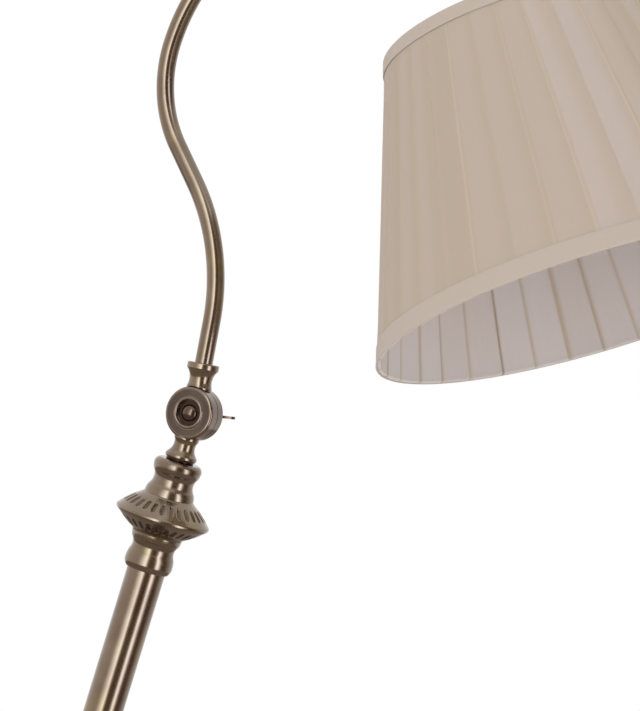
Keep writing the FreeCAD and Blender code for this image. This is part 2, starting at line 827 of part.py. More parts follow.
def make_knuckle():
    root, overlap = "stem_root", "(drum_radius - stem_overlap)"
    inlet = "(chamber_radius - chamber_inlet)"
    bead, fillet = "(stem_drop - stem_bead_height)", "(stem_bead - stem_fillet)"
    lower_stem = [
        ("0", "-stem_drop"),
        ("stem_bead", "-stem_drop", "stem_bead_bow"),
        ("stem_bead", f"-{bead}"),
        (fillet, f"-({bead} - stem_fillet_rise)", f"stem_waist - ({fillet} + {root}) / 2"),
        (root, "-drum_radius"),
        (root, f"-{overlap}"),
        ("0", f"-{overlap}"),
    ]
    entry, below = "(stem_drop - nipple_entry - nipple_room)", "-(stem_drop + overcut)"
    lower_bore = [
        ("0", below), (NIPPLE_HOLE, below), (NIPPLE_HOLE, f"-{entry}"),
        ("wireway_radius", f"-{entry}"), ("wireway_radius", f"-{inlet}"), ("0", f"-{inlet}"),
    ]
    make_knuckle_half(
        "knuckle_lower", PIVOT, drum_profile(), lower_stem, lower_bore, "drum_parting", False
    )

    rim, flare = "(socket_rise - socket_rim_height)", "(socket_rim - socket_fillet)"
    upper_stem = [
        ("0", overlap),
        (root, overlap),
        (root, "drum_radius", f"socket_waist - ({flare} + {root}) / 2"),
        (flare, f"{rim} - socket_fillet_drop"),
        ("socket_rim", rim),
        ("socket_rim", "socket_rise - socket_edge", f"socket_edge * {QUARTER}"),
        ("socket_rim - socket_edge", "socket_rise"),
        ("0", "socket_rise"),
    ]
    socket, floor, above = "(arm_radius + fit)", "(socket_rise - socket_depth)", "socket_rise + overcut"
    upper_bore = [
        ("0", inlet), ("wireway_radius", inlet), ("wireway_radius", floor),
        (socket, floor), (socket, above), ("0", above),
    ]
    make_knuckle_half(
        "knuckle_upper", ARM, mirrored(drum_profile()), upper_stem, upper_bore, "-drum_parting", True
    )


def dome_bow(radius, rise):
    """The bow that makes a dome of a radius and a rise level at its crown."""
    sphere = f"((({radius})^2 + ({rise})^2) / (2 * {rise}))"
    return f"{sphere} * (1 - sqrt(1 - {rise} / (2 * {sphere})))"


def make_knuckle_fixings():
    half = "(friction_thickness / 2)"
    rim = "(drum_radius - friction_inset)"
    turned(
        "friction_washer",
        [
            (f"{rim} - friction_width", f"-{half}"), (rim, f"-{half}"),
            (rim, half), (f"{rim} - friction_width", half),
        ],
        frame=PIVOT, plane="XY_Plane",
    )
    tail = f"({NUT_FACE} + nut_boss_height + bolt_tail)"
    head = f"({RECESS_FLOOR} + bolt_head_height)"
    turned(
        "pivot_bolt",
        [
            ("0", f"-{head}", dome_bow("bolt_head_radius", "(bolt_head_height - bolt_head_side)")),
            ("bolt_head_radius", f"-({RECESS_FLOOR} + bolt_head_side)"),
            ("bolt_head_radius", f"-{RECESS_FLOOR}"), ("bolt_radius", f"-{RECESS_FLOOR}"),
            ("bolt_radius", f"{tail} - bolt_bevel"), ("bolt_radius - bolt_bevel", tail), ("0", tail),
        ],
        frame=PIVOT, plane="XY_Plane",
    )
    near, far = f"({RECESS_FLOOR} + face_gap)", f"({NUT_FACE} - face_gap)"
    hole = "(bolt_radius + fit)"
    turned(
        "spring_washer",
        [(hole, near), ("spring_radius", near), ("spring_radius", far), (hole, far)],
        frame=PIVOT, plane="XY_Plane",
    )


def make_wing_nut():
    body = new_body("wing_nut", ("0", AXIS, "wing_angle"))
    top = f"({NUT_FACE} + nut_boss_height)"
    hole = "(bolt_radius + fit)"
    boss = [(hole, NUT_FACE), ("nut_boss_foot", NUT_FACE), ("nut_boss_top", top), (hole, top)]
    turn(body, draw(body, "XY_Plane", boss))
    root = "(nut_boss_top - wing_root_in)"
    wing = [
        (root, f"{NUT_FACE} + wing_foot", "-wing_foot_bow"),
        ("wing_span - wing_lobe_in", f"{NUT_FACE} + wing_lobe_rise", "wing_lobe_bow"),
        ("wing_span - wing_tip_in", f"{NUT_FACE} + wing_reach", "-wing_tip_bow"),
        (root, f"{top} - wing_root_in"),
    ]
    blade = pad(body, draw(body, "XY_Plane", wing), "wing_thickness", both_ways=True)
    polar_pattern(body, [blade], "2", role="Y_Axis")
    return body


# ---------------------------------------------------------------- arm and lampholder


def make_arm_tube():
    body = new_body("arm_tube", ARM)
    route = draw(body, "XZ_Plane", ROUTE, closed=False)
    section = draw_circles(
        body, "XY_Plane", ["arm_radius", "arm_radius - arm_wall"], offset="socket_rise - socket_depth"
    )
    return pipe(body, route, section)


CAP_TOP = "(-bush_flange_thickness)"
SKIRT_TOP = f"({CAP_TOP} - cap_height)"
FLANGE_FOOT = f"({SKIRT_TOP} - flange_thickness)"
INSERT_TOP = f"({SKIRT_TOP} + skirt_neck + insert_rise)"
INSERT_FLOOR = f"({INSERT_TOP} - insert_floor)"
LAMP_TOP = f"({INSERT_FLOOR} - contact_height - lamp_play)"
GLASS_TOP = f"({LAMP_TOP} - lamp_cap_length)"


def make_lampholder():
    """The lampholder hangs from the arm's end along the frame's -Z."""
    spigot = "(arm_radius - arm_wall - fit)"
    stub_foot = f"({CAP_TOP} - stub_length)"
    turned(
        "arm_end_bush",
        [
            ("wireway_radius", stub_foot), ("nipple_radius", stub_foot), ("nipple_radius", CAP_TOP),
            ("bush_flange", CAP_TOP), ("bush_flange", "0"), (spigot, "0"),
            (spigot, "bush_spigot"), ("wireway_radius", "bush_spigot"),
        ],
        frame=HEAD,
    )
    cap = [
        ("cap_radius", SKIRT_TOP),
        ("cap_radius", f"{SKIRT_TOP} + cap_straight", "cap_bow"),
        ("cap_crown", CAP_TOP),
        (NIPPLE_HOLE, CAP_TOP),
    ]
    turned("holder_cap", thin_wall(cap, "cap_wall"), frame=HEAD)
    nut_foot = f"({CAP_TOP} - cap_wall - entry_nut_height)"
    make_hex_nut("holder_nut", "entry_nut_flats", "entry_nut_height", nut_foot, HEAD)

    skirt_foot = f"({SKIRT_TOP} - skirt_length)"
    neck = "(cap_radius - cap_wall - fit)"
    turned(
        "holder_skirt",
        [
            ("skirt_bore", skirt_foot), ("skirt_radius", skirt_foot), ("skirt_radius", FLANGE_FOOT),
            ("flange_radius", FLANGE_FOOT), ("flange_radius", SKIRT_TOP), (neck, SKIRT_TOP),
            (neck, f"{SKIRT_TOP} + skirt_neck"), ("skirt_bore", f"{SKIRT_TOP} + skirt_neck"),
        ],
        frame=HEAD,
    )
    insert_edge, socket = "(skirt_bore - fit)", "(shell_radius + fit)"
    insert_foot = f"({INSERT_TOP} - insert_height)"
    turned(
        "holder_insert",
        [
            (socket, insert_foot), (insert_edge, insert_foot), (insert_edge, INSERT_TOP),
            ("0", INSERT_TOP), ("0", INSERT_FLOOR), (socket, INSERT_FLOOR),
        ],
        frame=HEAD,
    )
    shell_foot = f"({INSERT_FLOOR} - shell_length)"
    bore = "(shell_radius - shell_wall)"
    turned(
        "screw_shell",
        [(bore, shell_foot), ("shell_radius", shell_foot), ("shell_radius", INSERT_FLOOR), (bore, INSERT_FLOOR)],
        frame=HEAD,
    )
    turned(
        "centre_contact",
        [
            ("0", f"{INSERT_FLOOR} - contact_height", dome_bow("contact_radius", "(contact_height - contact_foot)")),
            ("contact_radius", f"{INSERT_FLOOR} - contact_foot"),
            ("contact_radius", INSERT_FLOOR), ("0", INSERT_FLOOR),
        ],
        frame=HEAD,
    )
    nut_top = f"({FLANGE_FOOT} - spider_thickness)"
    ring_foot, ring_bore = f"({nut_top} - ring_nut_height)", "(skirt_radius + fit)"
    turned(
        "shade_ring_nut",
        [
            (ring_bore, ring_foot), ("ring_nut_radius - ring_nut_taper", ring_foot, "ring_nut_bow"),
            ("ring_nut_radius", f"{nut_top} - ring_nut_edge"), ("ring_nut_radius", nut_top),
            (ring_bore, nut_top),
        ],
        frame=HEAD,
    )


def make_lamp():
    turned(
        "lamp_cap",
        [
            ("0", GLASS_TOP), ("lamp_cap_radius", GLASS_TOP),
            ("lamp_cap_radius", f"{LAMP_TOP} - lamp_cap_land"),
            ("lamp_cap_shoulder", f"{LAMP_TOP} - lamp_cap_land + lamp_cap_land_rise"),
            ("lamp_cap_tip", LAMP_TOP), ("0", LAMP_TOP),
        ],
        frame=HEAD,
    )
    belly = f"({GLASS_TOP} - glass_length + glass_radius)"
    tip = f"({GLASS_TOP} - glass_length)"
    throat, waist = f"({GLASS_TOP} - glass_throat_drop)", f"({belly} + glass_waist_rise)"
    outer = [
        ("0", tip, f"glass_radius * {QUARTER}"),
        ("glass_radius", belly, "glass_bow"),
        ("glass_waist", waist, "-glass_waist_bow"),
        ("glass_throat", throat),
        ("glass_mouth", GLASS_TOP),
    ]
    inner = [
        ("glass_mouth - glass_wall", GLASS_TOP),
        ("glass_throat - glass_wall", throat, "glass_waist_bow"),
        ("glass_waist - glass_wall", waist, "-glass_bow"),
        ("glass_radius - glass_wall", belly, f"-(glass_radius - glass_wall) * {QUARTER}"),
        ("0", f"{tip} + glass_wall"),
    ]
    turned("lamp_glass", outer + inner, frame=HEAD)


# ---------------------------------------------------------------- shade

SHADE_FOOT = "(shade_rise - shade_height)"
SLOPE = "((shade_bottom - shade_top) / shade_height)"
COVER_OUT = "(trim_thickness + layer_gap)"
COVER_IN = f"({COVER_OUT} + pleat_depth + cover_wall)"
BACKING_OUT = f"({COVER_IN} + layer_gap)"
BACKING_IN = f"({BACKING_OUT} + backing_wall)"
WIRE_ROOM = "(wire_radius + wire_slack)"
WIRE_HEIGHT = "(trim_thickness + layer_gap + wire_radius)"
OVER_WIRE = f"({WIRE_HEIGHT} + wire_radius + layer_gap)"
# the bottom wire lies in the rim, under the cover and the backing and outside the lining
LOW_WIRE_IN = f"(trim_thickness + layer_gap + {WIRE_ROOM})"
LINING_OUT = f"({LOW_WIRE_IN} + {WIRE_ROOM} + layer_gap)"
LINING_IN = f"({LINING_OUT} + lining_wall + lining_fold)"
# between two folds the lining's flat strips stand in from the round by this much
STRIP_SAG = "(shade_bottom * (1 - cos(180 / pleat_count)))"
INSIDE = f"({LINING_IN} + {STRIP_SAG} + layer_gap)"
# the top wire carries the spokes, so it lies inside the lining
TOP_WIRE_IN = f"({INSIDE} + {WIRE_ROOM})"


def cone_radius(z):
    """The shade's outer radius at a height of its frame."""
    return f"(shade_top + (shade_rise - ({z})) * {SLOPE})"


def fold_ring(radius, depth, z):
    """One ring of folds, as points: a crest, then the valley that its turned edge drops to. The depth
    is the one at the bottom edge, and it shrinks with the radius, so every fold is a flat strip."""
    count = int(size("pleat_count"))
    pitch = 2 * math.pi / count
    points = []
    for index in range(count):
        for share, drop in ((0, 0), (size("pleat_fold"), depth)):
            angle = pitch * (index + share)
            reach = radius * (1 - drop / size("shade_bottom"))
            points.append(Vector(reach * math.cos(angle), reach * math.sin(angle), z))
    return points


def make_cloth(label, outer, inner, foot_gap):
    """A closed cone of knife pleats. outer and inner each give how far the face's crests lie inside
    the shade's surface, and how far its valleys lie inside the crests."""
    heights = (size(f"{SHADE_FOOT} + {foot_gap}"), size(f"shade_rise - {COVER_OUT}"))
    faces = []
    ends = [[], []]
    for inset, depth in (outer, inner):
        rings = [fold_ring(size(f"{cone_radius(z)} - {inset}"), size(depth), z) for z in heights]
        for index in range(len(rings[0])):
            after = (index + 1) % len(rings[0])
            strip = [rings[0][index], rings[0][after], rings[1][after], rings[1][index]]
            faces.append(Part.Face(Part.makePolygon(strip + strip[:1])))
        for end, ring in zip(ends, rings):
            end.append(Part.makePolygon(ring + ring[:1]))
    for outer_edge, inner_edge in ends:
        faces.append(Part.makeFace([outer_edge, inner_edge], "Part::FaceMakerBullseye"))
    shell = Part.makeShell(faces)
    shell.sewShape()
    solid = Part.makeSolid(shell)
    if solid.Volume < 0:
        solid.reverse()
    cloth = doc.addObject("Part::Feature", label)
    cloth.Shape = solid
    settle(cloth, HEAD)
    return cloth


def make_trim(label, edge, away, cover_in, hem):
    """Folded fabric band round a rim of the shade: a tall outer leg, the fold under the layers as far
    in as cover_in, and a hem that rises inside them. away is the sign of the way into the shade."""

    def level(depth):
        return f"({edge} + ({away}) * ({depth}))"

    inner_out = f"({cone_radius(edge)} - {cover_in})"
    inner_in = f"({inner_out} - trim_thickness)"
    fold, tall = "trim_thickness", "trim_height"
    corners = [
        (inner_in, edge),
        (cone_radius(edge), edge),
        (cone_radius(level(tall)), level(tall)),
        (f"{cone_radius(level(tall))} - trim_thickness", level(tall)),
        (f"{cone_radius(level(fold))} - trim_thickness", level(fold)),
        (inner_out, level(fold)),
        (inner_out, level(hem)),
        (inner_in, level(hem)),
    ]
    return turned(label, corners, frame=HEAD)


def wire_ring(body, edge, away, inset):
    z = f"({edge} + ({away}) * {WIRE_HEIGHT})"
    section = draw_circles(body, "XZ_Plane", ["wire_radius"], x=f"{cone_radius(z)} - {inset}", y=z)
    return turn(body, section)


def make_top_frame():
    """Top wire, the spider's flat ring under the lampholder's flange, and the spokes between them."""
    body = new_body("shade_top_frame", HEAD)
    wire_ring(body, "shade_rise", "-1", TOP_WIRE_IN)
    low = f"({FLANGE_FOOT} - spider_thickness)"
    ring = [("spider_bore", low), ("spider_radius", low), ("spider_radius", FLANGE_FOOT), ("spider_bore", FLANGE_FOOT)]
    turn(body, draw(body, "XZ_Plane", ring))
    level = f"({FLANGE_FOOT} - spider_thickness / 2)"
    z = f"(shade_rise - {WIRE_HEIGHT})"
    start = "(ring_nut_radius + spoke_start)"
    route = draw(
        body, "XZ_Plane",
        [(start, level, "spoke_sag"), (f"{cone_radius(z)} - {TOP_WIRE_IN}", z)],
        closed=False,
    )
    section = draw_circles(body, "YZ_Plane", ["wire_radius"], y=level, offset=start)
    spoke = pipe(body, route, section)
    polar_pattern(body, [spoke], "spoke_count")
    return body


def make_shade():
    make_cloth("shade_cover", (COVER_OUT, "pleat_depth"), (COVER_IN, "0"), OVER_WIRE)
    make_cloth("shade_backing", (BACKING_OUT, "0"), (BACKING_IN, "0"), OVER_WIRE)
    make_cloth("shade_lining", (LINING_OUT, "0"), (LINING_IN, "-lining_fold"), COVER_OUT)
    over_wire = f"({TOP_WIRE_IN} + {WIRE_ROOM} + layer_gap)"
    make_trim("top_trim", "shade_rise", "-1", over_wire, "top_hem")
    make_trim("bottom_trim", SHADE_FOOT, "1", f"({INSIDE} + {SLOPE} * bottom_hem)", "bottom_hem")
    make_top_frame()
    wire_ring(new_body("shade_bottom_ring", HEAD), SHADE_FOOT, "1", LOW_WIRE_IN)


# ---------------------------------------------------------------- assembly

make_base_pad()
make_base_weight()
make_base_cover()
make_cable_gland()
make_base_fixings()
turned("foot_collar", collar_profile(), frame=("0", f"{CROWN} + collar_height", "180"))
make_pole()
turned("pole_collar", collar_profile(), frame=("0", COLLAR, "0"))
make_knop()
make_cup()
make_neck_ring()
make_knuckle()
make_knuckle_fixings()
make_wing_nut()
make_arm_tube()
make_lampholder()
make_lamp()
make_shade()
doc.recompute()

for item in doc.Objects:
    if "Invalid" in item.State or "Error" in item.State:
        raise RuntimeError(f"{item.Name} failed: {item.State}")

nodes = [
    item
    for item in doc.Objects
    if item.TypeId in ("PartDesign::Body", "Part::Feature", "Part::Cylinder")
]
os.makedirs("parts", exist_ok=True)
for node in nodes:
    shape = node.Shape
    if shape.isNull() or not shape.isValid() or not shape.Solids:
        raise RuntimeError(f"{node.Label} has no valid solid")
for node in nodes:
    node.Shape.exportStep(os.path.join("parts", node.Label + ".step"))
    print(f"{node.Label}: {len(node.Shape.Solids)} solid, {node.Shape.Volume:.0f} mm3")
print(f"{len(nodes)} nodes; knuckle axis {size(AXIS):.1f} mm above the floor")
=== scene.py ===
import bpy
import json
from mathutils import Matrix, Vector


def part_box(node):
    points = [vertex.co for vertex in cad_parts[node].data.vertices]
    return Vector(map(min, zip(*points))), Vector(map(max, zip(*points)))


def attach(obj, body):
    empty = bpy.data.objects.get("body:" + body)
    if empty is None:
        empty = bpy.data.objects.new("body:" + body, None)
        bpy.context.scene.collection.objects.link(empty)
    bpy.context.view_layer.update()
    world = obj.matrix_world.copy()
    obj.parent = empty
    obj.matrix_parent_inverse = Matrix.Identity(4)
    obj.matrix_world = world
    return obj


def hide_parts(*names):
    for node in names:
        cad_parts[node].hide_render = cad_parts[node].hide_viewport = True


bl_info = {
    "name": "Bridge floor lamp",
    "version": (1, 0, 0),
    "blender": (4, 5, 0),
    "location": "View3D > Sidebar > Lamp",
    "description": "Dresses the lamp's frame: brass, glass, the pleated shade, and a plain studio",
    "category": "Object",
}

import json
import math

import bpy
import numpy as np
from mathutils import Matrix

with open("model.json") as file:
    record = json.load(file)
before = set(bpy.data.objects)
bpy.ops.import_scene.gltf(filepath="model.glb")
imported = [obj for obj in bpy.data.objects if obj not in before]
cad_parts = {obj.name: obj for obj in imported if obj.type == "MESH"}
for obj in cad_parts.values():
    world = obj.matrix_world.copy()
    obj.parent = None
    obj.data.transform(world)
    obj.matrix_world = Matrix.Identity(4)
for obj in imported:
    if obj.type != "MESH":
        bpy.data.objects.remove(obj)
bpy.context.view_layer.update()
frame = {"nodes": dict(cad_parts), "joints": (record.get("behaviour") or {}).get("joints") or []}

KNUCKLE = np.array(next(j["pos_m"] for j in frame["joints"] if j["name"] == "arm_tilt"))
SEED = 7
MM = 0.001
WHITE = (1, 1, 1, 1)


# ---------------------------------------------------------------- sizes and colours


def length(name, default_mm, description):
    """A length that a user can change, with its default in millimetres."""
    return bpy.props.FloatProperty(
        name=name, description=description, default=default_mm * MM, min=0, subtype="DISTANCE", unit="LENGTH"
    )


def angle(name, default_degrees, description):
    """An angle that a user can change, with its default in degrees."""
    return bpy.props.FloatProperty(
        name=name, description=description, default=math.radians(default_degrees),
        subtype="ANGLE", unit="ROTATION",
    )


def share(name, default, description):
    """A number from 0 to 1 that a user can change."""
    return bpy.props.FloatProperty(
        name=name, description=description, default=default, min=0, max=1, subtype="FACTOR"
    )


def linear(hex_colour):
    """An sRGB hex colour as linear red, green and blue."""
    parts = np.array([int(hex_colour[i : i + 2], 16) for i in (1, 3, 5)]) / 255
    return tuple(np.where(parts <= 0.04045, parts / 12.92, ((parts + 0.055) / 1.055) ** 2.4))


def rgba(tint):
    """A linear colour with full opacity."""
    return (*tint, 1)


def colour(name, hex_colour, description):
    """A colour that a user can change, with its default in sRGB hex."""
    return bpy.props.FloatVectorProperty(
        name=name, description=description, default=linear(hex_colour), size=3, min=0, max=1, subtype="COLOR"
    )


class LampShadeSizes(bpy.types.PropertyGroup):
    rise: length("Rise", 3, "How far the shade's top stands above the arm's end")
    height: length("Height", 189.7, "Height of the cone along its axis")
    top: length("Top radius", 89.3, "Outer radius of the top rim")
    bottom: length("Bottom radius", 147.8, "Outer radius of the bottom rim")
    pleats: bpy.props.IntProperty(name="Pleats", description="Folds round the shade", default=36, min=8)
    pleat_depth: length("Pleat depth", 0.8, "How far a fold stands over the next one")
    pleat_edge: share("Pleat edge", 0.09, "Share of a pleat that its turned edge takes")
    unevenness: share("Unevenness", 0.1, "How much the pleats differ in width")
    band: length("Band", 13, "Height of the smooth band at the bottom rim")
    top_band: length("Top band", 9.5, "Height of the smooth band at the top rim")
    band_cloth: length("Band cloth", 0.45, "Thickness of the folded bands")
    cloth: length("Cloth", 0.3, "Thickness of the cloth")
    gap: length("Gap", 0.15, "Room between one layer and the next")
    lining_in: length("Lining", 2.95, "How far the lining's back lies inside the shade's outer face")
    lining_fold: length("Lining fold", 0.5, "How far a fold of the lining stands over the next one")
    wire: length("Wire radius", 1.0, "Radius of the wire in the rims")
    top_wire_in: length("Top wire", 5.51, "How far the top wire lies inside the shade's outer face")


class LampKnopSizes(bpy.types.PropertyGroup):
    foot: length("Foot radius", 17.2, "Radius where the knop meets the collar")
    foot_lip: length("Foot lip", 0.4, "Step out over the collar")
    foot_rise: length("Foot rise", 0.9, "Height of that step")
    foot_bow: length("Foot bow", 0.35, "Swell of the lower slope")
    radius: length("Radius", 32.1, "Radius of the rim")
    rim_half: length("Rim", 1.9, "Half the thickness of the rim")
    rim_height: length("Rim height", 12.7, "Height of the rim's middle")
    rim_bow: length("Rim bow", 1.05, "Swell of the rim")
    top: length("Top radius", 17.0, "Radius at the top")
    top_lip: length("Top lip", 1.2, "Step out below the top")
    top_drop: length("Top drop", 1.1, "Height of that step")
    top_bow: length("Top bow", 0.5, "Swell of the upper slope")
    height: length("Height", 27, "Height of the knop")
    wall: length("Wall", 3.5, "Thickness of the top")
    bore: length("Bore", 5.15, "Radius of the hole for the nipple")
    flutes: bpy.props.IntProperty(name="Flutes", description="Flutes round each slope", default=28, min=6)
    flute_depth: length("Flute depth", 0.9, "Depth of a flute")
    flute_width: share("Flute width", 0.74, "Share of the pitch that a flute takes")
    flute_start: share("Flute start", 0.26, "Where a flute starts on its slope")
    flute_end: share("Flute end", 0.78, "Where a flute ends on its slope")


class LampArmSizes(bpy.types.PropertyGroup):
    lean: angle("Lean", 7.23, "How far the leg leans back from upright")
    radius: length("Radius", 6, "Outer radius of the tube")
    foot: length("Foot", 22, "Start of the tube above the knuckle's axis")
    leg: length("Leg", 61.7, "Height above the axis where the first bend starts")
    back_bend: length("Back bend", 142.1, "Radius of the sweep back")
    back_turn: angle("Back turn", 39.19, "Turn of the sweep back")
    back_straight: length("Straight", 29.1, "Straight run after the sweep back")
    rise_bend: length("Rise bend", 88.4, "Radius of the bend up")
    rise_turn: angle("Rise turn", 48.03, "Turn of the bend up")
    crook_bend: length("Crook bend", 132.1, "Radius of the bend over the shade")
    crook_turn: angle("Crook turn", 141.88, "Turn of the bend over the shade")
    tail: length("Tail", 8, "Straight end of the tube")


class LampColours(bpy.types.PropertyGroup):
    brass: colour("Brass", "#90826F", "Antique brass where it is rubbed")
    patina: colour("Patina", "#7B6B5C", "Antique brass where the patina is left")
    recess: colour("Recess", "#4A3826", "Dark patina in grooves")
    gold: colour("Gold", "#938463", "Antique brass where the patina is thin")
    cloth: colour("Cloth", "#E5D9D2", "Shade cloth, one layer")
    fold: colour("Fold", "#DDCFBE", "Shade cloth where folds lie over each other")
    lining: colour("Lining", "#EFE8E6", "Lining cloth")
    band: colour("Band", "#D1C3B6", "Bands at the shade's rims")


class LampStudio(bpy.types.PropertyGroup):
    orbit: angle("Orbit", 26.42, "Camera's angle round the lamp from straight in front")
    dip: angle("Dip", 3.5, "How far the camera looks down")
    roll: angle("Roll", 17.15, "How far the camera is rolled")
    distance: length("Distance", 1995, "From the camera to the knuckle's plane")
    lens: bpy.props.FloatProperty(name="Lens", description="Focal length in millimetres", default=151.9)
    ambient: bpy.props.FloatProperty(
        name="Ambient", description="Light from all round on matt surfaces", default=0.92
    )


# ---------------------------------------------------------------- shared helpers


def smooth_step(low, high, x):
    """0 up to low, 1 from high on, and 3t^2 - 2t^3 between them."""
    t = np.clip((x - low) / (high - low), 0, 1)
    return t * t * (3 - 2 * t)


def turned(radius, turn, height):
    """Points at cylinder coordinates about +Z, which broadcast against each other."""
    return np.stack(np.broadcast_arrays(radius * np.cos(turn), radius * np.sin(turn), height), axis=-1)


def grid_faces(rows, columns, wrap_rows, wrap_columns):
    """Quads between neighbouring points of a grid, one row of indices each."""
    i = np.arange(rows if wrap_rows else rows - 1)
    j = np.arange(columns if wrap_columns else columns - 1)
    i, j = (a.ravel() for a in np.meshgrid(i, j, indexing="ij"))
    here, below = i * columns, (i + 1) % rows * columns
    right = (j + 1) % columns
    return np.stack([here + j, here + right, below + right, below + j], axis=1)


def surface(name, points, wrap_rows=False, wrap_columns=False, uv=None, attributes=None, material=None):
    """A smooth mesh on a grid of points. Rows run the first way and columns the second. uv holds a
    flat coordinate in metres for each point, and attributes a number for each point by name."""
    rows, columns = points.shape[:2]
    faces = grid_faces(rows, columns, wrap_rows, wrap_columns)
    mesh = bpy.data.meshes.new(name)
    mesh.from_pydata(points.reshape(-1, 3), [], faces)
    mesh.shade_smooth()
    if uv is not None:
        flat = uv[faces // columns, faces % columns]
        mesh.uv_layers.new(name="Flat").data.foreach_set("uv", flat.astype(np.float32).ravel())
    for key, numbers in (attributes or {}).items():
        layer = mesh.attributes.new(key, "FLOAT", "POINT")
        layer.data.foreach_set("value", np.asarray(numbers, dtype=np.float32).ravel())
    if material:
        mesh.materials.append(material)
    piece = bpy.data.objects.new(name, mesh)
    bpy.context.scene.collection.objects.link(piece)
    return piece


def bowed(corners, spacing):
    """An outline through corners (x, y, bow). A bow is how far the run to the next corner swells off
    its chord, to the right of the way drawn, along a circle."""
    points = []
    for index, (x, y, bow) in enumerate(corners):
        start = np.array([x, y])
        end = np.array(corners[(index + 1) % len(corners)][:2])
        chord = end - start
        run = np.linalg.norm(chord)
        count = max(1, round(run / spacing))
        part = np.arange(count)[:, None] / count
        line = start + part * chord
        if bow:
            # along the chord an arc of rise b stands off it by sqrt(r^2 - u^2) - (r - b)
            radius = run**2 / (8 * abs(bow)) + abs(bow) / 2
            reach = (part - 0.5) * run
            rise = np.sqrt(radius**2 - reach**2) - (radius - abs(bow))
            line = line + math.copysign(1, bow) * rise * np.array([chord[1], -chord[0]]) / run
        points.append(line)
    return np.concatenate(points)


def arm_route(arm, spacing=1.5 * MM):
    """The arm's centreline in the lamp's XZ plane: points, headings and lengths along it. It is a
    chain of straight runs and arcs, and the heading is measured from +Z towards +X."""
    heading = -arm.lean
    start = KNUCKLE + arm.foot * np.array([math.sin(heading), 0, math.cos(heading)])
    runs = [
        (arm.leg - arm.foot, 0),
        (arm.back_bend * arm.back_turn, -arm.back_turn),
        (arm.back_straight, 0),
        (arm.rise_bend * arm.rise_turn, arm.rise_turn),
        (arm.crook_bend * arm.crook_turn, arm.crook_turn),
        (arm.tail, 0),
    ]
    steps, turns = [], []
    for run, turn in runs:
        count = max(2, round(run / spacing))
        steps.append(np.full(count, run / count))
        turns.append(np.full(count, turn / count))
    step, turn = np.concatenate(steps), np.concatenate(turns)
    headings = heading + np.concatenate([[0], np.cumsum(turn)])
    middle = (headings[:-1] + headings[1:]) / 2
    # a chord of an arc is shorter than the arc by sin(x) / x of half its turn
    chord = step * np.sinc(turn / 2 / np.pi)
    moves = chord[:, None] * np.stack([np.sin(middle), 0 * middle, np.cos(middle)], axis=1)
    points = start + np.concatenate([np.zeros((1, 3)), np.cumsum(moves, axis=0)])
    return points, headings, np.concatenate([[0], np.cumsum(step)])


def shade_frame(arm):
    """The shade's origin at the arm's end, and its axes: across in the arm's plane, sideways, up."""
    points, headings, _ = arm_route(arm)
    tilt = math.pi - headings[-1]
    across = np.array([math.cos(tilt), 0, math.sin(tilt)])
    up = np.array([-math.sin(tilt), 0, math.cos(tilt)])
    return points[-1], np.array([across, [0, 1, 0], up])


def add(tree, kind, inputs=None, stops=None, **values):
    """Adds a shader node with its settings. An input is a number, a colour, another node, which
    stands for its first output in use, or one output of a node."""
    item = tree.nodes.new("ShaderNode" + kind)
    for key, value in values.items():
        setattr(item, key, value)
    for key, value in (inputs or {}).items():
        if isinstance(value, bpy.types.Node):
            value = next(output for output in value.outputs if output.enabled)
        if isinstance(value, bpy.types.NodeSocket):
            tree.links.new(value, item.inputs[key])
        else:
            item.inputs[key].default_value = value
    if stops:
        elements = item.color_ramp.elements
        while len(elements) < len(stops):
            elements.new(1)
        for element, (place, tint) in zip(elements, stops):
            element.position = place
            element.color = rgba(tint)
    return item


def new_material(name):
    """A material with an empty node tree, and that tree."""
    material = bpy.data.materials.new(name)
    material.use_nodes = True
    material.node_tree.nodes.clear()
    return material, material.node_tree


# ---------------------------------------------------------------- materials

# the height that a bump of full strength stands for
GRAIN_DEPTH = 0.1 * MM


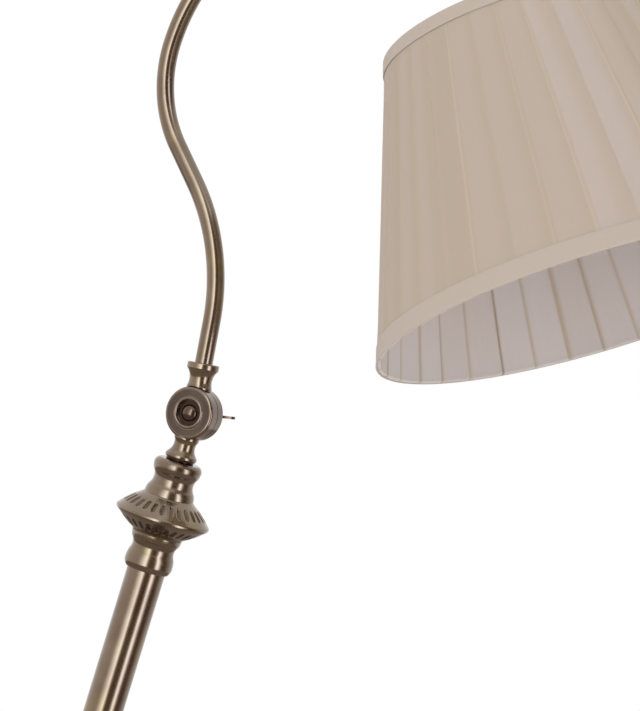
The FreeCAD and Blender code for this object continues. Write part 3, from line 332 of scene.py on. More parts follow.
def antique_brass(name, grain, centre=(0, 0, 0), turn=(0, 0, 0), rings=None):
    """Antique brass: plated, stained dark, rubbed back along the grain and lacquered satin. The
    lines of the rubbing streak its gloss and leave patina between them. grain is "along" for tube
    that was drawn and brushed lengthwise, "bent" for such a tube that was bent after it, whose flat
    coordinate runs round it and then along it, and "round" for a piece turned on a lathe about the
    axis that centre and turn give. rings lists radii in mm about that axis, each with how much of
    the metal's red, green and blue is kept there: under 1 it is painted shade, with patina in the
    drum's recess, and over 1 a painted highlight."""
    colours = bpy.context.scene.lamp_colours
    material, tree = new_material(name)
    if grain == "bent":
        unrolled = add(tree, "SeparateXYZ", {0: add(tree, "UVMap", uv_map="Flat")})
        place = add(tree, "CombineXYZ", {"X": unrolled.outputs["X"], "Z": unrolled.outputs["Y"]})
    else:
        place = add(tree, "TexCoord").outputs["Object"]
    place = add(
        tree, "Mapping", {"Vector": place, "Location": centre, "Rotation": turn}, vector_type="TEXTURE"
    )
    if grain == "round":
        # rings: the radius and the height stand for the place, so a line closes on itself
        flat = add(tree, "VectorMath", {0: place, 1: (1, 1, 0)}, operation="MULTIPLY")
        radius = add(tree, "VectorMath", {0: flat}, operation="LENGTH")
        height = add(tree, "SeparateXYZ", {0: place}).outputs["Z"]
        fine = add(tree, "CombineXYZ", {"X": radius, "Z": height})
    else:
        # lines some 90 mm long
        fine = add(tree, "Mapping", {"Vector": place, "Scale": (1, 1, 0.006)})
    # real lines are under 0.1 mm apart, and these are 0.5 mm apart so that they show
    streak = add(tree, "TexNoise", {"Vector": fine, "Scale": 1900, "Detail": 3, "Roughness": 0.6})
    # clouds 22 mm across, where more or less of the patina was rubbed off
    cloud = add(tree, "TexNoise", {"Vector": place, "Scale": 45, "Detail": 4, "Roughness": 0.55})
    tone = add(tree, "Math", {0: streak, 1: 0.3, 2: cloud}, operation="MULTIPLY_ADD")
    rub = add(
        tree, "MapRange", {"Value": tone, "From Min": 0.35, "From Max": 0.95}, interpolation_type="SMOOTHSTEP"
    )
    worn = add(
        tree, "Mix", {"Factor": rub, "A": rgba(colours.patina), "B": rgba(colours.brass)}, data_type="RGBA"
    )
    # patches 30 mm across where the patina is thin and greenish gold
    patch = add(tree, "TexNoise", {"Vector": place, "Scale": 33, "Detail": 2})
    thin = add(
        tree, "MapRange", {"Value": patch, "From Min": 0.5, "From Max": 0.72, "To Max": 0.5},
        interpolation_type="SMOOTHSTEP",
    )
    worn = add(tree, "Mix", {"Factor": thin, "A": worn, "B": rgba(colours.gold)}, data_type="RGBA")
    # rings paint shade where a factor is under 1 and highlights where it is over 1, by radius about the axis
    if rings:
        reach = rings[-1][0]
        outward = add(tree, "Math", {0: radius, 1: reach * MM}, operation="DIVIDE", use_clamp=True)
        ring_shade = add(tree, "ValToRGB", {"Fac": outward}, stops=[(at / reach, left) for at, left in rings])
        worn = add(
            tree, "Mix", {"Factor": 1.0, "A": worn, "B": ring_shade}, data_type="RGBA", blend_type="MULTIPLY"
        )
    # the patina stays where the piece says that it is hollow
    hollow = add(tree, "Attribute", attribute_name="hollow").outputs["Fac"]
    tint = add(tree, "Mix", {"Factor": hollow, "A": worn, "B": rgba(colours.recess)}, data_type="RGBA")
    gloss = add(
        tree, "MapRange",
        {"Value": streak, "From Min": 0.3, "From Max": 0.7, "To Min": 0.15, "To Max": 0.21},
    )
    # scratches a few micrometres deep
    relief = add(tree, "Bump", {"Height": streak, "Strength": 0.03, "Distance": GRAIN_DEPTH})
    shader = add(
        tree, "BsdfPrincipled",
        {"Base Color": tint, "Metallic": 1.0, "Roughness": gloss, "Normal": relief,
         "Coat Weight": 0.3, "Coat Roughness": 0.12},
    )
    add(tree, "OutputMaterial", {"Surface": shader})
    return material


def plain(name, hex_colour, rough, metallic=0.0, grain_mm=0.5, bump=0.05, **extra):
    """A moulded, cast, plated or painted surface: one colour with a slight cloud, 17 mm across, and
    a fine grain that varies its gloss and its relief."""
    material, tree = new_material(name)
    place = add(tree, "TexCoord").outputs["Object"]
    cloud = add(tree, "TexNoise", {"Vector": place, "Scale": 60, "Detail": 3})
    grain = add(tree, "TexNoise", {"Vector": place, "Scale": 1 / (grain_mm * MM), "Detail": 2})
    tint = np.array(linear(hex_colour))
    shades = [(0.35, tuple(tint * 0.94)), (0.65, tuple(np.minimum(tint * 1.06, 1)))]
    gloss = add(
        tree, "MapRange", {"Value": grain, "To Min": rough * 0.85, "To Max": min(1, rough * 1.15)}
    )
    shader = add(
        tree, "BsdfPrincipled",
        {"Base Color": add(tree, "ValToRGB", {"Fac": cloud}, stops=shades),
         "Metallic": metallic, "Roughness": gloss,
         "Normal": add(tree, "Bump", {"Height": grain, "Strength": bump, "Distance": GRAIN_DEPTH}),
         **extra},
    )
    add(tree, "OutputMaterial", {"Surface": shader})
    return material


def sheet_card(name, hex_colour, translucency):
    """Stiff translucent card: matt, with light through it and a faint mottle 3 mm across."""
    material, tree = new_material(name)
    place = add(tree, "TexCoord").outputs["Object"]
    mottle = add(tree, "TexNoise", {"Vector": place, "Scale": 330, "Detail": 3})
    tint = np.array(linear(hex_colour))
    ramp = add(tree, "ValToRGB", {"Fac": mottle}, stops=[(0, tuple(tint * 0.95)), (1, tuple(tint))])
    matt = add(tree, "BsdfPrincipled", {"Base Color": ramp, "Roughness": 0.6})
    glow = add(tree, "BsdfTranslucent", {"Color": ramp})
    both = add(tree, "MixShader", {0: translucency, 1: matt, 2: glow})
    add(tree, "OutputMaterial", {"Surface": both})
    return material


def voile(name, single, folded, line, translucency=0.5):
    """Fine pleated voile. Where folds lie over each other the cloth is warmer and denser, and one
    layer alone is greyer. line is the colour of a painted line along each fold edge, which stands
    for the edge's highlight on the cover and its shadow on the lining. The threads are 0.35 mm
    apart, and they are drawn 0.7 mm apart so that they show."""
    material, tree = new_material(name)
    flat = add(tree, "UVMap", uv_map="Flat")
    layers = add(tree, "Attribute", attribute_name="layers").outputs["Fac"]
    painted_fold_line = add(tree, "Attribute", attribute_name="painted_fold_line").outputs["Fac"]
    # at scale 1 a wave texture has 3.18 waves to the metre
    waves = 1 / (0.7 * MM) / 3.18
    threads = [
        add(
            tree, "TexWave", {"Vector": flat, "Scale": waves, "Distortion": 1.2, "Detail": 1},
            wave_type="BANDS", bands_direction=way,
        ).outputs["Fac"]
        for way in ("X", "Y")
    ]
    weave = add(tree, "Math", {0: threads[0], 1: threads[1]}, operation="MULTIPLY")
    # slubs 4 mm wide and 32 mm long, which lie down the slope
    stretched = add(tree, "Mapping", {"Vector": flat, "Scale": (1, 0.12, 1)})
    slub = add(tree, "TexNoise", {"Vector": stretched, "Scale": 260, "Detail": 4, "Roughness": 0.6})
    tone = add(tree, "Math", {0: slub, 1: 0.25, 2: layers}, operation="MULTIPLY_ADD")
    tone = add(tree, "Math", {0: tone, 1: 0.125}, operation="SUBTRACT", use_clamp=True)
    tint = add(tree, "Mix", {"Factor": tone, "A": rgba(single), "B": rgba(folded)}, data_type="RGBA")
    # the painted fold line: a painted highlight on the cover's fold edges and a painted shadow on the
    # lining's
    tint = add(tree, "Mix", {"Factor": painted_fold_line, "A": tint, "B": rgba(linear(line))}, data_type="RGBA")
    relief = add(tree, "Bump", {"Height": weave, "Strength": 0.25, "Distance": GRAIN_DEPTH})
    shader = add(
        tree, "BsdfPrincipled",
        {"Base Color": tint, "Roughness": 0.9, "Normal": relief,
         "Sheen Weight": 0.15, "Sheen Roughness": 0.5, "Specular IOR Level": 0.2},
    )
    glow = add(tree, "BsdfTranslucent", {"Color": tint, "Normal": relief})
    both = add(tree, "MixShader", {0: translucency, 1: shader, 2: glow})
    add(tree, "OutputMaterial", {"Surface": both})
    return material


POLE_PIECES = ("pole_lower", "pole_upper")
TURNED_PIECES = ("base_cover", "foot_collar", "pole_band", "pole_collar", "neck_cup")
HIDDEN_STEEL = (
    "base_washer", "base_nut", "base_nipple", "foot_plug", "lower_joint_plug", "upper_joint_plug",
    "head_plug", "joint_nipple", "head_nipple", "spring_washer", "holder_nut",
)

# how much of the brass's red, green and blue is kept: patina and painted shade in the drum's recess, painted
# shade on its face, its side and the bolt, and a painted highlight on the bezel and the edge
RECESS_PATINA_AND_SHADE, FACE_PAINTED_SHADE, SIDE_PAINTED_SHADE = (0.2, 0.16, 0.16), (0.52, 0.52, 0.6), (0.88, 0.88, 0.95)
BOLT_PAINTED_SHADE, PAINTED_HIGHLIGHT = (0.56, 0.5, 0.5), (1.1, 1.1, 1.15)


class LAMP_OT_metal(bpy.types.Operator):
    """Gives the frame's rigid pieces their brass, steel, iron, porcelain, plastic and glass"""

    bl_idname = "lamp.metal"
    bl_label = "Finish the rigid pieces"

    def execute(self, context):
        pivot = ("round", tuple(KNUCKLE), (math.pi / 2, 0, 0))
        # patina and painted shade in the recess, painted shade on the face and the side, painted highlights
        # on the bezel and the edge, brass on the stems
        drum = [
            (0, RECESS_PATINA_AND_SHADE), (8.4, RECESS_PATINA_AND_SHADE), (8.8, PAINTED_HIGHLIGHT), (10.8, PAINTED_HIGHLIGHT), (11.6, FACE_PAINTED_SHADE),
            (15.2, FACE_PAINTED_SHADE), (16.5, PAINTED_HIGHLIGHT), (17.5, SIDE_PAINTED_SHADE), (18.4, SIDE_PAINTED_SHADE), (20, (1, 1, 1)),
        ]
        bolt = [(0, BOLT_PAINTED_SHADE), (30, BOLT_PAINTED_SHADE)]
        finishes = {
            antique_brass("antique brass brushed lengthwise", "along"): POLE_PIECES,
            antique_brass("antique brass turned about the pole", "round"): TURNED_PIECES,
            antique_brass("antique brass turned about the pivot", *pivot, drum): (
                "knuckle_lower", "knuckle_upper",
            ),
            # the bolt and the wing nut are darkened all over as painted shade
            antique_brass("brass of the bolt and the wing nut with painted shade", *pivot, bolt): (
                "pivot_bolt", "wing_nut",
            ),
            antique_brass("antique brass of the arm's end", "round"): ("arm_end_bush", "holder_cap"),
            # the neck ring sits in the groove under the knuckle's stem, and its near-black colour is painted
            # shade over reddish brass
            plain("red brass, satin, darkened as painted shade", "#3C2A25", 0.35, 1.0): ("neck_ring",),
            plain("bright brass", "#CDAE72", 0.2, 1.0): ("screw_shell", "centre_contact"),
            plain("zinc plated steel", "#A9A9A4", 0.35, 1.0): HIDDEN_STEEL,
            plain("cast iron, painted black", "#1E1E1E", 0.6, grain_mm=1.5, bump=0.5): ("base_weight",),
            plain("vulcanised fibre", "#5A3524", 0.55): ("friction_washer",),
            plain("black thermoset, moulded", "#141312", 0.3): (
                "cable_gland", "holder_skirt", "shade_ring_nut",
            ),
            plain("glazed porcelain", "#EFEDE6", 0.15): ("holder_insert",),
            plain("rolled aluminium", "#CFCFCB", 0.3, 1.0): ("lamp_cap",),
            plain("opal glass, coated inside", "#F1EFEA", 0.12, **{"Transmission Weight": 0.25}): (
                "lamp_glass",
            ),
            sheet_card("laminated shade card", "#F4F1ED", 0.6): ("shade_backing",),
            plain("dark lacquered wire", "#3A3836", 0.4): ("shade_top_frame", "shade_bottom_ring"),
        }
        for material, nodes in finishes.items():
            for name in nodes:
                node = frame["nodes"][name]
                node.data.materials.clear()
                node.data.materials.append(material)
        return {"FINISHED"}


# ---------------------------------------------------------------- arm


class LAMP_OT_arm(bpy.types.Operator):
    """Makes the swan-neck tube's skin, with brushing that follows its bends"""

    bl_idname = "lamp.arm"
    bl_label = "Swan-neck arm"

    def execute(self, context):
        arm = context.scene.lamp_arm
        points, headings, along = arm_route(arm)
        around = np.linspace(0, 2 * np.pi, 64, endpoint=False)
        side = np.stack([np.cos(headings), 0 * headings, -np.sin(headings)], axis=1)
        radius = np.full(len(points), arm.radius)
        # the first and last rings close on the centreline
        points = np.concatenate([points[:1], points, points[-1:]])
        side = np.concatenate([side[:1], side, side[-1:]])
        along = np.concatenate([along[:1], along, along[-1:]])
        radius = np.concatenate([[0], radius, [0]])
        ring = (
            np.cos(around)[None, :, None] * side[:, None, :]
            + np.sin(around)[None, :, None] * np.array([0, 1, 0])
        )
        skin = points[:, None, :] + radius[:, None, None] * ring
        seam = np.linspace(0, 2 * np.pi * arm.radius, len(around), endpoint=False)
        uv = np.stack(np.broadcast_arrays(seam[None, :], along[:, None]), axis=2)
        material = antique_brass("antique brass brushed along the arm", "bent")
        piece = surface("arm_skin", skin[:, ::-1], wrap_columns=True, uv=uv[:, ::-1], material=material)
        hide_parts("arm_tube")
        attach(piece, "arm")
        return {"FINISHED"}


# ---------------------------------------------------------------- knop


class LAMP_OT_knop(bpy.types.Operator):
    """Makes the fluted knop: a turned double cone whose depth at a place is flute_depth times
    (1 + cos(pi across / width)) / 2, inside each flute's rounded outline"""

    bl_idname = "lamp.knop"
    bl_label = "Fluted knop"

    def execute(self, context):
        knop = context.scene.lamp_knop
        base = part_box("fluted_knop")[0].z
        edge = knop.radius - knop.rim_bow
        foot = (knop.foot + knop.foot_lip, knop.foot_rise)
        low, high = (edge, knop.rim_height - knop.rim_half), (edge, knop.rim_height + knop.rim_half)
        crown = (knop.top + knop.top_lip, knop.height - knop.top_drop)
        inner = knop.foot - knop.wall
        hub = knop.height - knop.wall
        corners = [
            (inner, 0, 0), (knop.foot, 0, 0), (*foot, knop.foot_bow), (*low, knop.rim_bow),
            (*high, knop.top_bow), (*crown, 0), (knop.top, knop.height, 0), (knop.bore, knop.height, 0),
            (knop.bore, hub, 0), (inner, hub, 0), (knop.radius - 2 * knop.wall, knop.rim_height, 0),
            (inner, knop.wall, 0),
        ]
        outline = bowed(corners, spacing=0.6 * MM)
        columns_per_flute = 20
        count = knop.flutes * columns_per_flute
        turn = np.linspace(0, 2 * np.pi, count, endpoint=False)
        across = (turn * knop.flutes / (2 * np.pi) + 0.5) % 1 - 0.5
        hollow = np.zeros((count, len(outline)))
        push = np.zeros((len(outline), 2))
        middle = (knop.flute_start + knop.flute_end) / 2
        half = (knop.flute_end - knop.flute_start) / 2
        # a flute narrower than this share of the pitch has ended, and a slope bows less than off_line
        least, off_line = 0.001, 0.8 * MM
        for inside, outside, side in ((foot, low, -1), (crown, high, 1)):
            way = np.array(outside) - np.array(inside)
            down = (outline - inside) @ way / (way @ way)
            aside = np.abs((outline - inside) @ np.array([-way[1], way[0]])) / math.hypot(*way)
            on_slope = aside < off_line
            # straight sides and rounded ends
            taper = np.clip(1 - np.abs((down - middle) / half) ** 5, 0, 1) ** 0.5
            width = knop.flute_width / 2 * taper * on_slope
            place = np.minimum(np.abs(across[:, None]) / np.maximum(width, least)[None, :], 1)
            hollow = np.maximum(hollow, 0.5 * (1 + np.cos(np.pi * place)) * (width > least))
            # into the slope, at right angles to it
            push[on_slope] = side * np.array([way[1], -way[0]]) / math.hypot(*way)
        deep = knop.flute_depth * hollow
        radius, height = (outline[None, :, i] + deep * push[None, :, i] for i in (0, 1))
        points = turned(radius, turn[:, None], base + height)
        material = antique_brass("antique brass of the knop", "round")
        # the patina fills a flute nearly to its edges, and is rubbed a little even at its bottom
        patina = 0.62 * smooth_step(0, 0.4, hollow)
        piece = surface("knop", points, True, True, attributes={"hollow": patina}, material=material)
        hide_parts("fluted_knop")
        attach(piece, "stand")
        return {"FINISHED"}


# ---------------------------------------------------------------- shade


def pleat_pattern(shade, seed):
    """Where the pleats stand round the shade. Gives, for each column, its angle, its place within
    its pleat from 0 at one fold edge to 1 at the next, and three uneven numbers per pleat."""
    rng = np.random.default_rng(seed)
    widths = 1 + shade.unevenness * rng.uniform(-1, 1, shade.pleats)
    starts = np.concatenate([[0], np.cumsum(widths)]) / widths.sum() * 2 * np.pi
    edge_columns, slope_columns = 8, 16
    local = np.concatenate([
        np.linspace(0, shade.pleat_edge, edge_columns, endpoint=False),
        np.linspace(shade.pleat_edge, 1, slope_columns, endpoint=False),
    ])
    pleat = np.repeat(np.arange(shade.pleats), len(local))
    place = np.tile(local, shade.pleats)
    turn = starts[pleat] + place * (starts[pleat + 1] - starts[pleat])
    uneven = rng.uniform(-1, 1, (shade.pleats, 3))[pleat]
    return turn, place, uneven


def fold_height(shade, place):
    """A knife pleat's height: it drops from 1 to 0 over its turned edge, then climbs back to 1."""
    down = 1 - smooth_step(0, shade.pleat_edge, place)
    up = smooth_step(0, 1, (place - shade.pleat_edge) / (1 - shade.pleat_edge)) ** 1.2
    return np.where(place < shade.pleat_edge, down, up)


def in_shade(radius, turn, height):
    """Points at cylinder coordinates of the shade, with the height over its bottom rim, as a grid in
    the lamp's frame."""
    shade = bpy.context.scene.lamp_shade
    origin, axes = shade_frame(bpy.context.scene.lamp_arm)
    return origin + turned(radius, turn, height + shade.rise - shade.height) @ axes


def pleated(name, node, material, path, folds_out, depth, lap, own, seed):
    """A closed sheet of knife pleats round the shade. path runs down the sheet's back, as rows of
    (how far inside the shade's outer face, height over the bottom rim, heading out, heading up). The
    folds rise from the other face by depth times fold_height. lap is the share of a pleat where
    folds lie over each other, and own is how much the pleats differ in tone."""
    shade = bpy.context.scene.lamp_shade
    turn, place, uneven = pleat_pattern(shade, seed)
    inset, height, back_out, back_up = (column[None, :] for column in np.array(path).T)
    climb = height / shade.height
    cone = shade.bottom - climb * (shade.bottom - shade.top)
    # the bands press the folds flat at the rims: the cover keeps its full thickness there and the
    # lining its least one. Each fold is a little deeper or shallower
    free = 0.06 + 0.94 * smooth_step(0.08, 0.2, climb) * smooth_step(0.06, 0.2, 1 - climb)
    fold = free * fold_height(shade, place)[:, None] * (1 + 0.2 * uneven[:, :1])
    thick = shade.cloth + depth * (fold + (1 - free) * folds_out) * cone / shade.bottom
    # between its edges a pleat strays to one side by a slow bow and a wave
    bow, wave = 2 * MM, 0.8 * MM
    wander = bow * uneven[:, 1:2] * np.sin(np.pi * climb) ** 2
    wander = wander + wave * np.sin(2 * np.pi * climb * (1.3 + uneven[:, 2:3]) + 3 * uneven[:, :1])
    bend = turn[:, None] + wander * np.minimum(1, 4 * place * (1 - place))[:, None] / cone
    # the back is plain, and the folds stand off it. The grid runs down the outer face and up the inner
    back = [np.broadcast_to(values, bend.shape) for values in (cone - inset, height)]
    front = [back[0] - back_out * thick, back[1] - back_up * thick]
    outer, inner = (front, back) if folds_out else (back, front)
    radius, rise, turns = (
        np.concatenate([down, up[:, ::-1]], axis=1) for down, up in zip((*outer, bend), (*inner, bend))
    )
    points = in_shade(radius, turns, rise)
    uv = np.stack(np.broadcast_arrays(turn[:, None] * shade.bottom, rise), axis=2)
    # a pleat is denser before its edge and just past the last one, and each has its own tone
    start = 1 - lap * (1 + 0.4 * uneven[:, 0])
    over = smooth_step(0, 1, (place - start) / lap) + 1 - smooth_step(0, 0.15 * lap, place)
    over = np.clip(own * (1 + uneven[:, 2]) + (1 - own) * over, 0, 1)
    # a painted line along each fold edge, a painted highlight on the cover and a painted shadow on the
    # lining, takes this share of a pleat to each side of its edge, and some edges lack one
    fold_line_width = 0.02
    from_edge = (place + 0.5) % 1 - 0.5
    edge = np.exp(-(from_edge**2) / fold_line_width**2) * smooth_step(-0.3, 1, uneven[:, 1])
    columns = np.ones((1, radius.shape[1]))
    attributes = {"layers": over[:, None] * columns, "painted_fold_line": edge[:, None] * columns}
    piece = surface(name, points, True, True, uv=uv, attributes=attributes, material=material)
    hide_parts(node)
    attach(piece, "arm")


class LAMP_OT_cloth(bpy.types.Operator):
    """Makes the pleated cover and the pleated lining of the shade"""

    bl_idname = "lamp.cloth"
    bl_label = "Pleated cover and lining"

    def execute(self, context):
        shade, colours = context.scene.lamp_shade, context.scene.lamp_colours
        # the line colours paint a highlight along the cover's fold edges and a shadow along the lining's
        cover = voile("pleated voile of the cover", colours.cloth, colours.fold, "#E9DCCA")
        lining = voile("pleated voile of the lining", colours.lining, colours.fold, "#C2B09A")
        over_wire = shade.band_cloth + 2 * shade.gap + 2 * shade.wire
        back_in = shade.band_cloth + shade.gap + shade.pleat_depth + shade.cloth
        top = shade.height - shade.band_cloth - shade.gap
        cover_rows, lining_rows, turn_rows = 48, 44, 10
        down = [(back_in, z, -1, 0) for z in np.linspace(top, over_wire, cover_rows)]
        pleated(
            "pleated_cover", "shade_cover", cover, down,
            folds_out=True, depth=shade.pleat_depth, lap=0.8, own=0.4, seed=SEED,
        )
        # the lining turns out round the bottom wire, on a quarter of an ellipse from wire_up over
        # the rim to under, and runs on to the band's edge
        slope = (shade.bottom - shade.top) / shade.height
        wire_in, wire_up, under, band_edge = 1.7 * MM, 1.6 * MM, 0.55 * MM, 1.05 * MM
        down = [(shade.lining_in, z, 1, 0) for z in np.linspace(top, wire_up, lining_rows)]
        for swing in np.linspace(0, math.pi / 2, turn_rows)[1:]:
            level = wire_up - (wire_up - under) * math.sin(swing)
            inset = wire_in + slope * (wire_up - level) + (shade.lining_in - wire_in) * math.cos(swing)
            down.append((inset, level, math.cos(swing), math.sin(swing)))
        down.append((band_edge, under, 0, 1))
        pleated(
            "pleated_lining", "shade_lining", lining, down,
            folds_out=False, depth=shade.lining_fold, lap=0.14, own=0.1, seed=SEED + 1,
        )
        return {"FINISHED"}


class LAMP_OT_bands(bpy.types.Operator):
    """Makes the smooth folded bands round the shade's rims"""

    bl_idname = "lamp.bands"
    bl_label = "Bands at the rims"

    def execute(self, context):
        shade, band = context.scene.lamp_shade, context.scene.lamp_colours.band
        material = voile("bias band, folded", band, band, "#E6D9C8", 0.3)
        thick = shade.band_cloth
        # the bottom band ends under the rim, and the top one goes on round the wire to a hem
        turned_in, turned_up, hem_down = 1.0 * MM, 0.25 * MM, 1.5 * MM
        hem = shade.top_wire_in + shade.wire + shade.gap
        self.make("bottom_band", "bottom_trim", material, 0, 1, [(turned_in, turned_up), (turned_in, 0)])
        self.make(
            "top_band", "top_trim", material, shade.height, -1,
            [(hem, thick), (hem, hem_down), (hem + thick, hem_down), (hem + thick, 0)],
        )
        return {"FINISHED"}

    def make(self, name, node, material, rim, away, end):
        """A closed loop carried round the rim: up the outside, back down, and under the rim to its
        end. The outside ripples by 0.1 mm where the bias is pulled, and eases down to the cover over
        its last 2.5 mm."""
        shade = bpy.context.scene.lamp_shade
        thick = shade.band_cloth
        high = shade.band if away > 0 else shade.top_band
        turn = np.linspace(0, 2 * np.pi, 384, endpoint=False)
        climb = np.linspace(0, 1, 12)
        corner, ease_down = 0.6 * MM, 2.5 * MM
        # rows of (how far inside the shade's outer face, how far from the rim)
        loop = np.array(
            [(corner * (1 - math.sin(a)), corner * (1 - math.cos(a))) for a in np.linspace(0, math.pi / 2, 6)]
            + [(0, corner + (high - (corner + ease_down)) * c) for c in climb[1:]]
            + [(0.9 * thick * ease, high - down * MM) for down, ease in ((1.7, 0.25), (0.9, 0.7), (0.2, 1))]
            + [(thick + 0.85 * shade.gap, high)]
            + [(thick, thick * 1.2 + (high - thick * 1.2) * c) for c in climb[::-1]]
            + end
        )
        height = rim + away * loop[:, 1]
        cone = shade.bottom - height / shade.height * (shade.bottom - shade.top)
        ripple = 0.1 * MM * (0.5 + 0.5 * np.sin(turn * 29 + 2 * np.sin(turn * 5)))
        # the ripples are on the outside alone, clear of the rim and of the edge
        clear = 2 * MM
        loose = (loop[:, 0] < thick * 0.1) & (loop[:, 1] > clear) & (loop[:, 1] < high - clear)
        radii = (cone - loop[:, 0])[None, :] - ripple[:, None] * loose[None, :]
        points = in_shade(radii, turn[:, None], height[None, :])
        steps = np.concatenate([[0], np.cumsum(np.linalg.norm(np.diff(loop, axis=0), axis=1))])
        uv = np.stack(np.broadcast_arrays(turn[:, None] * shade.bottom, steps[None, :]), axis=2)
        flat = np.zeros(radii.shape)
        if away < 0:
            points, uv = points[:, ::-1], uv[:, ::-1]
        piece = surface(
            name, points, True, True, uv=uv, attributes={"layers": flat, "painted_fold_line": flat}, material=material
        )
        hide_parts(node)
        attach(piece, "arm")


# ---------------------------------------------------------------- felt


class LAMP_OT_felt(bpy.types.Operator):
    """Makes the felt pad under the foot"""

    bl_idname = "lamp.felt"
    bl_label = "Felt pad"

    def execute(self, context):
        low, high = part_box("base_pad")
        radius, thick = (high.x - low.x) / 2, high.z - low.z
        material, tree = new_material("pressed felt")
        place = add(tree, "TexCoord").outputs["Object"]
        # fibres are far finer than these tufts, which are 1 mm across so that they show
        fibre = add(tree, "TexNoise", {"Vector": place, "Scale": 900, "Detail": 6, "Roughness": 0.7})
        ramp = add(
            tree, "ValToRGB", {"Fac": fibre}, stops=[(0.3, linear("#191817")), (0.7, linear("#35322F"))]
        )
        relief = add(tree, "Bump", {"Height": fibre, "Strength": 0.6, "Distance": 0.4 * MM})
        shader = add(
            tree, "BsdfPrincipled",
            {"Base Color": ramp, "Roughness": 0.95, "Normal": relief, "Sheen Weight": 0.4},
        )
        add(tree, "OutputMaterial", {"Surface": shader})
        # half an outline, from the middle of the underside round the edge to the middle of the top
        flat_rings, edge_rings = 7, 9
        edge = np.linspace(-np.pi / 2, np.pi / 2, edge_rings)
        bulge = 0.4 * thick
        reach = np.concatenate([
            np.linspace(0, radius - bulge, flat_rings + 1)[:-1],
            radius - bulge + bulge * np.cos(edge),
            np.linspace(radius - bulge, 0, flat_rings + 1)[1:],
        ])
        height = np.concatenate([
            np.zeros(flat_rings), thick / 2 + thick / 2 * np.sin(edge), np.full(flat_rings, thick)
        ])
        turn = np.linspace(0, 2 * np.pi, 180, endpoint=False)
        piece = surface("felt_pad", turned(reach, turn[:, None], height), wrap_rows=True, material=material)
        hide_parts("base_pad")
        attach(piece, "stand")
        return {"FINISHED"}


# ---------------------------------------------------------------- studio

# the light that a gloss meets from each bearing, in degrees from the camera, positive to its right,
# and from steeply above and below
ROOM = (
    (-180, (1.0, 1.0, 1.0)), (-130, (1.0, 1.0, 1.05)), (-104, (0.95, 0.9, 0.9)), (-72, (0.85, 0.78, 0.75)),
    (-54, (0.78, 0.72, 0.68)), (-42, (0.95, 0.9, 0.85)), (-25, (2.3, 2.35, 2.4)), (-11, (3.9, 4.1, 4.6)),
    (-3, (1.0, 0.9, 0.75)), (2, (0.2, 0.15, 0.1)), (30, (0.22, 0.16, 0.1)), (38, (1.2, 1.1, 1.1)),
    (45, (4.2, 4.5, 5.4)), (53, (3.0, 3.0, 3.4)), (63, (0.6, 0.5, 0.45)), (71, (0.2, 0.14, 0.1)),
    (90, (0.2, 0.15, 0.12)), (104, (0.5, 0.45, 0.43)), (124, (0.85, 0.83, 0.85)), (180, (1.0, 1.0, 1.0)),
)
ABOVE, BELOW = (0.95, 0.93, 0.95), (0.34, 0.28, 0.26)
# the light that these colours are shares of, so that each fits a ramp
LEVEL = 5.5


def rays(tree):
    """Two outputs: 1 on a ray off a gloss, and 1 on one from the camera, straight or through glass."""
    path = add(tree, "LightPath").outputs
    seen = add(tree, "Math", {0: path["Is Camera Ray"], 1: path["Is Transmission Ray"]}, operation="MAXIMUM")
    return path["Is Glossy Ray"], seen


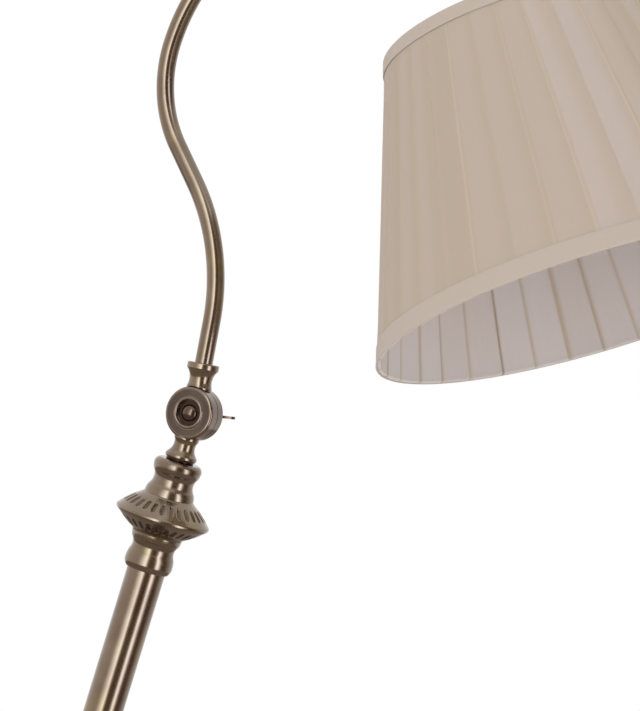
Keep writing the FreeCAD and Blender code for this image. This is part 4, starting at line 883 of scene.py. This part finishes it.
class LAMP_OT_studio(bpy.types.Operator):
    """Makes the floor, the soft lights, the white background and the camera"""

    bl_idname = "lamp.studio"
    bl_label = "Studio and camera"

    def execute(self, context):
        studio = context.scene.lamp_studio
        context.scene.view_settings.view_transform = "Standard"
        self.camera(studio)
        self.world(studio)
        self.floor()
        # the angle from the camera, in degrees, the middle's height, the width, how tall, brightness
        self.lamp("left softbox", studio, -35, 1.5, 0.9, 2.4, 1.6)
        self.lamp("right softbox", studio, 43, 1.5, 0.4, 2.4, 1.6)
        self.lamp("low fill", studio, 75, 0.5, 1.2, 0.8, 1.6)
        return {"FINISHED"}

    def camera(self, studio):
        """Aims the lens so that the knuckle falls on its pixel in the picture."""
        width, height = 640, 711
        knuckle_x, knuckle_y = 194.3, 413.6
        sensor = 36.0
        focal = studio.lens / sensor * height
        flat = np.array([-math.sin(studio.orbit), math.cos(studio.orbit), 0])
        aim = flat * math.cos(studio.dip) - np.array([0, 0, math.sin(studio.dip)])
        right = np.array([math.cos(studio.orbit), math.sin(studio.orbit), 0])
        up = np.cross(right, aim)
        right, up = (
            right * math.cos(studio.roll) + up * math.sin(studio.roll),
            up * math.cos(studio.roll) - right * math.sin(studio.roll),
        )
        offset = (knuckle_x - width / 2) * right - (knuckle_y - height / 2) * up
        place = KNUCKLE - studio.distance * (aim + offset / focal)
        data = bpy.data.cameras.new("camera")
        data.lens, data.sensor_width = studio.lens, sensor
        camera = bpy.data.objects.new("camera", data)
        bpy.context.scene.collection.objects.link(camera)
        turn = Matrix((right, up, -aim)).transposed().to_4x4()
        camera.matrix_world = Matrix.Translation(place) @ turn
        bpy.context.scene.camera = camera

    def lamp(self, name, studio, swing, height, width, tall, brightness):
        """An upright panel of light, 2 m from the pole, that faces it. Its brightness is the one
        that a mirror shows, where 1 is white."""
        distance = 2.0
        bearing = studio.orbit + math.radians(swing)
        data = bpy.data.lights.new(name, "AREA")
        data.shape, data.size, data.size_y = "RECTANGLE", width, tall
        data.energy = brightness * math.pi * width * tall
        item = bpy.data.objects.new(name, data)
        bpy.context.scene.collection.objects.link(item)
        item.location = (distance * math.sin(bearing), -distance * math.cos(bearing), height)
        item.rotation_euler = (math.pi / 2, 0, bearing)
        # the world gives the glosses, so the panels light matt surfaces only
        item.visible_camera = item.visible_glossy = False

    def world(self, studio):
        """White to the camera. A gloss sees a studio: pale all round, and dark where the camera and
        the room behind it are. Matt surfaces get an even light."""
        world = bpy.data.worlds.new("studio")
        world.use_nodes = True
        tree = world.node_tree
        tree.nodes.clear()
        place = add(tree, "TexCoord").outputs["Generated"]
        # the bearing from the camera's side, as a share of a full turn, with the camera at 0.5
        turned_place = add(
            tree, "VectorRotate", {"Vector": place, "Angle": -studio.orbit}, rotation_type="Z_AXIS"
        )
        parts = add(tree, "SeparateXYZ", {0: turned_place}).outputs
        back = add(tree, "Math", {0: parts["Y"], 1: -1}, operation="MULTIPLY")
        bearing = add(tree, "Math", {0: parts["X"], 1: back}, operation="ARCTAN2")
        turn = add(tree, "MapRange", {"Value": bearing, "From Min": -math.pi, "From Max": math.pi})
        stops = [((degrees + 180) / 360, tuple(np.array(tint) / LEVEL)) for degrees, tint in ROOM]
        gloss = add(tree, "ValToRGB", {"Fac": turn}, stops=stops)
        # a ray that climbs or drops steeply leaves the pattern for the ceiling or the floor
        for tint, low, high in ((ABOVE, 0.5, 0.92), (BELOW, -0.25, -0.7)):
            steep = add(
                tree, "MapRange", {"Value": parts["Z"], "From Min": low, "From Max": high},
                interpolation_type="SMOOTHSTEP",
            )
            flat = rgba(np.array(tint) / LEVEL)
            gloss = add(tree, "Mix", {"Factor": steep, "A": gloss, "B": flat}, data_type="RGBA")
        glossy, seen = rays(tree)
        matt = add(tree, "Background", {"Color": WHITE, "Strength": studio.ambient})
        shiny = add(tree, "Background", {"Color": gloss, "Strength": LEVEL})
        white = add(tree, "Background", {"Color": WHITE, "Strength": 1.0})
        mixed = add(tree, "MixShader", {0: glossy, 1: matt, 2: shiny})
        final = add(tree, "MixShader", {0: seen, 1: mixed, 2: white})
        add(tree, "OutputWorld", {"Surface": final})
        # the gloss pattern is only right along reflected rays, so the world isn't sampled as a light
        world.cycles.sampling_method = "NONE"
        bpy.context.scene.world = world

    def floor(self):
        """A round pale floor that fades to the white background."""
        turn = np.linspace(0, 2 * np.pi, 96, endpoint=False)
        points = turned(np.array([0.0, 0.6, 1.2, 2.0, 3.0]), turn[:, None], 0.0)
        material, tree = new_material("pale painted floor")
        place = add(tree, "TexCoord").outputs["Object"]
        reach = add(tree, "VectorMath", {0: place}, operation="LENGTH")
        fade = add(
            tree, "MapRange", {"Value": reach, "From Min": 0.9, "From Max": 2.9},
            interpolation_type="SMOOTHSTEP",
        )
        glossy, seen = rays(tree)
        amount = add(tree, "Math", {0: seen, 1: fade}, operation="MULTIPLY")
        paint = add(tree, "BsdfPrincipled", {"Base Color": rgba(linear("#EDEBE8")), "Roughness": 0.8})
        white = add(tree, "Emission", {"Color": WHITE, "Strength": 1.0})
        # a gloss sees it as dim as the lower part of the studio
        dim = add(tree, "Emission", {"Color": (0.36, 0.3, 0.28, 1), "Strength": 1.0})
        paint = add(tree, "MixShader", {0: glossy, 1: paint, 2: dim})
        mixed = add(tree, "MixShader", {0: amount, 1: paint, 2: white})
        add(tree, "OutputMaterial", {"Surface": mixed})
        floor = surface("floor", points, wrap_rows=True, material=material)


# ---------------------------------------------------------------- panel and registration

STEPS = ("lamp.metal", "lamp.arm", "lamp.knop", "lamp.cloth", "lamp.bands", "lamp.felt", "lamp.studio")
GROUPS = {
    "lamp_shade": LampShadeSizes,
    "lamp_knop": LampKnopSizes,
    "lamp_arm": LampArmSizes,
    "lamp_colours": LampColours,
    "lamp_studio": LampStudio,
}


class LAMP_PT_panel(bpy.types.Panel):
    """The lamp's pieces, sizes and colours"""

    bl_label = "Bridge floor lamp"
    bl_idname = "LAMP_PT_panel"
    bl_space_type = "VIEW_3D"
    bl_region_type = "UI"
    bl_category = "Lamp"

    def draw(self, context):
        for step in STEPS:
            self.layout.operator(step)
        for name in GROUPS:
            group = getattr(context.scene, name)
            box = self.layout.box()
            for key in group.__annotations__:
                box.prop(group, key)


CLASSES = (
    *GROUPS.values(),
    LAMP_OT_metal, LAMP_OT_arm, LAMP_OT_knop, LAMP_OT_cloth, LAMP_OT_bands, LAMP_OT_felt, LAMP_OT_studio,
    LAMP_PT_panel,
)


def register():
    for item in CLASSES:
        bpy.utils.register_class(item)
    for name, group in GROUPS.items():
        setattr(bpy.types.Scene, name, bpy.props.PointerProperty(type=group))


def unregister():
    for name in GROUPS:
        delattr(bpy.types.Scene, name)
    for item in reversed(CLASSES):
        bpy.utils.unregister_class(item)


def main():
    register()
    for step in STEPS:
        group, name = step.split(".")
        getattr(getattr(bpy.ops, group), name)()


if __name__ == "__main__":
    main()
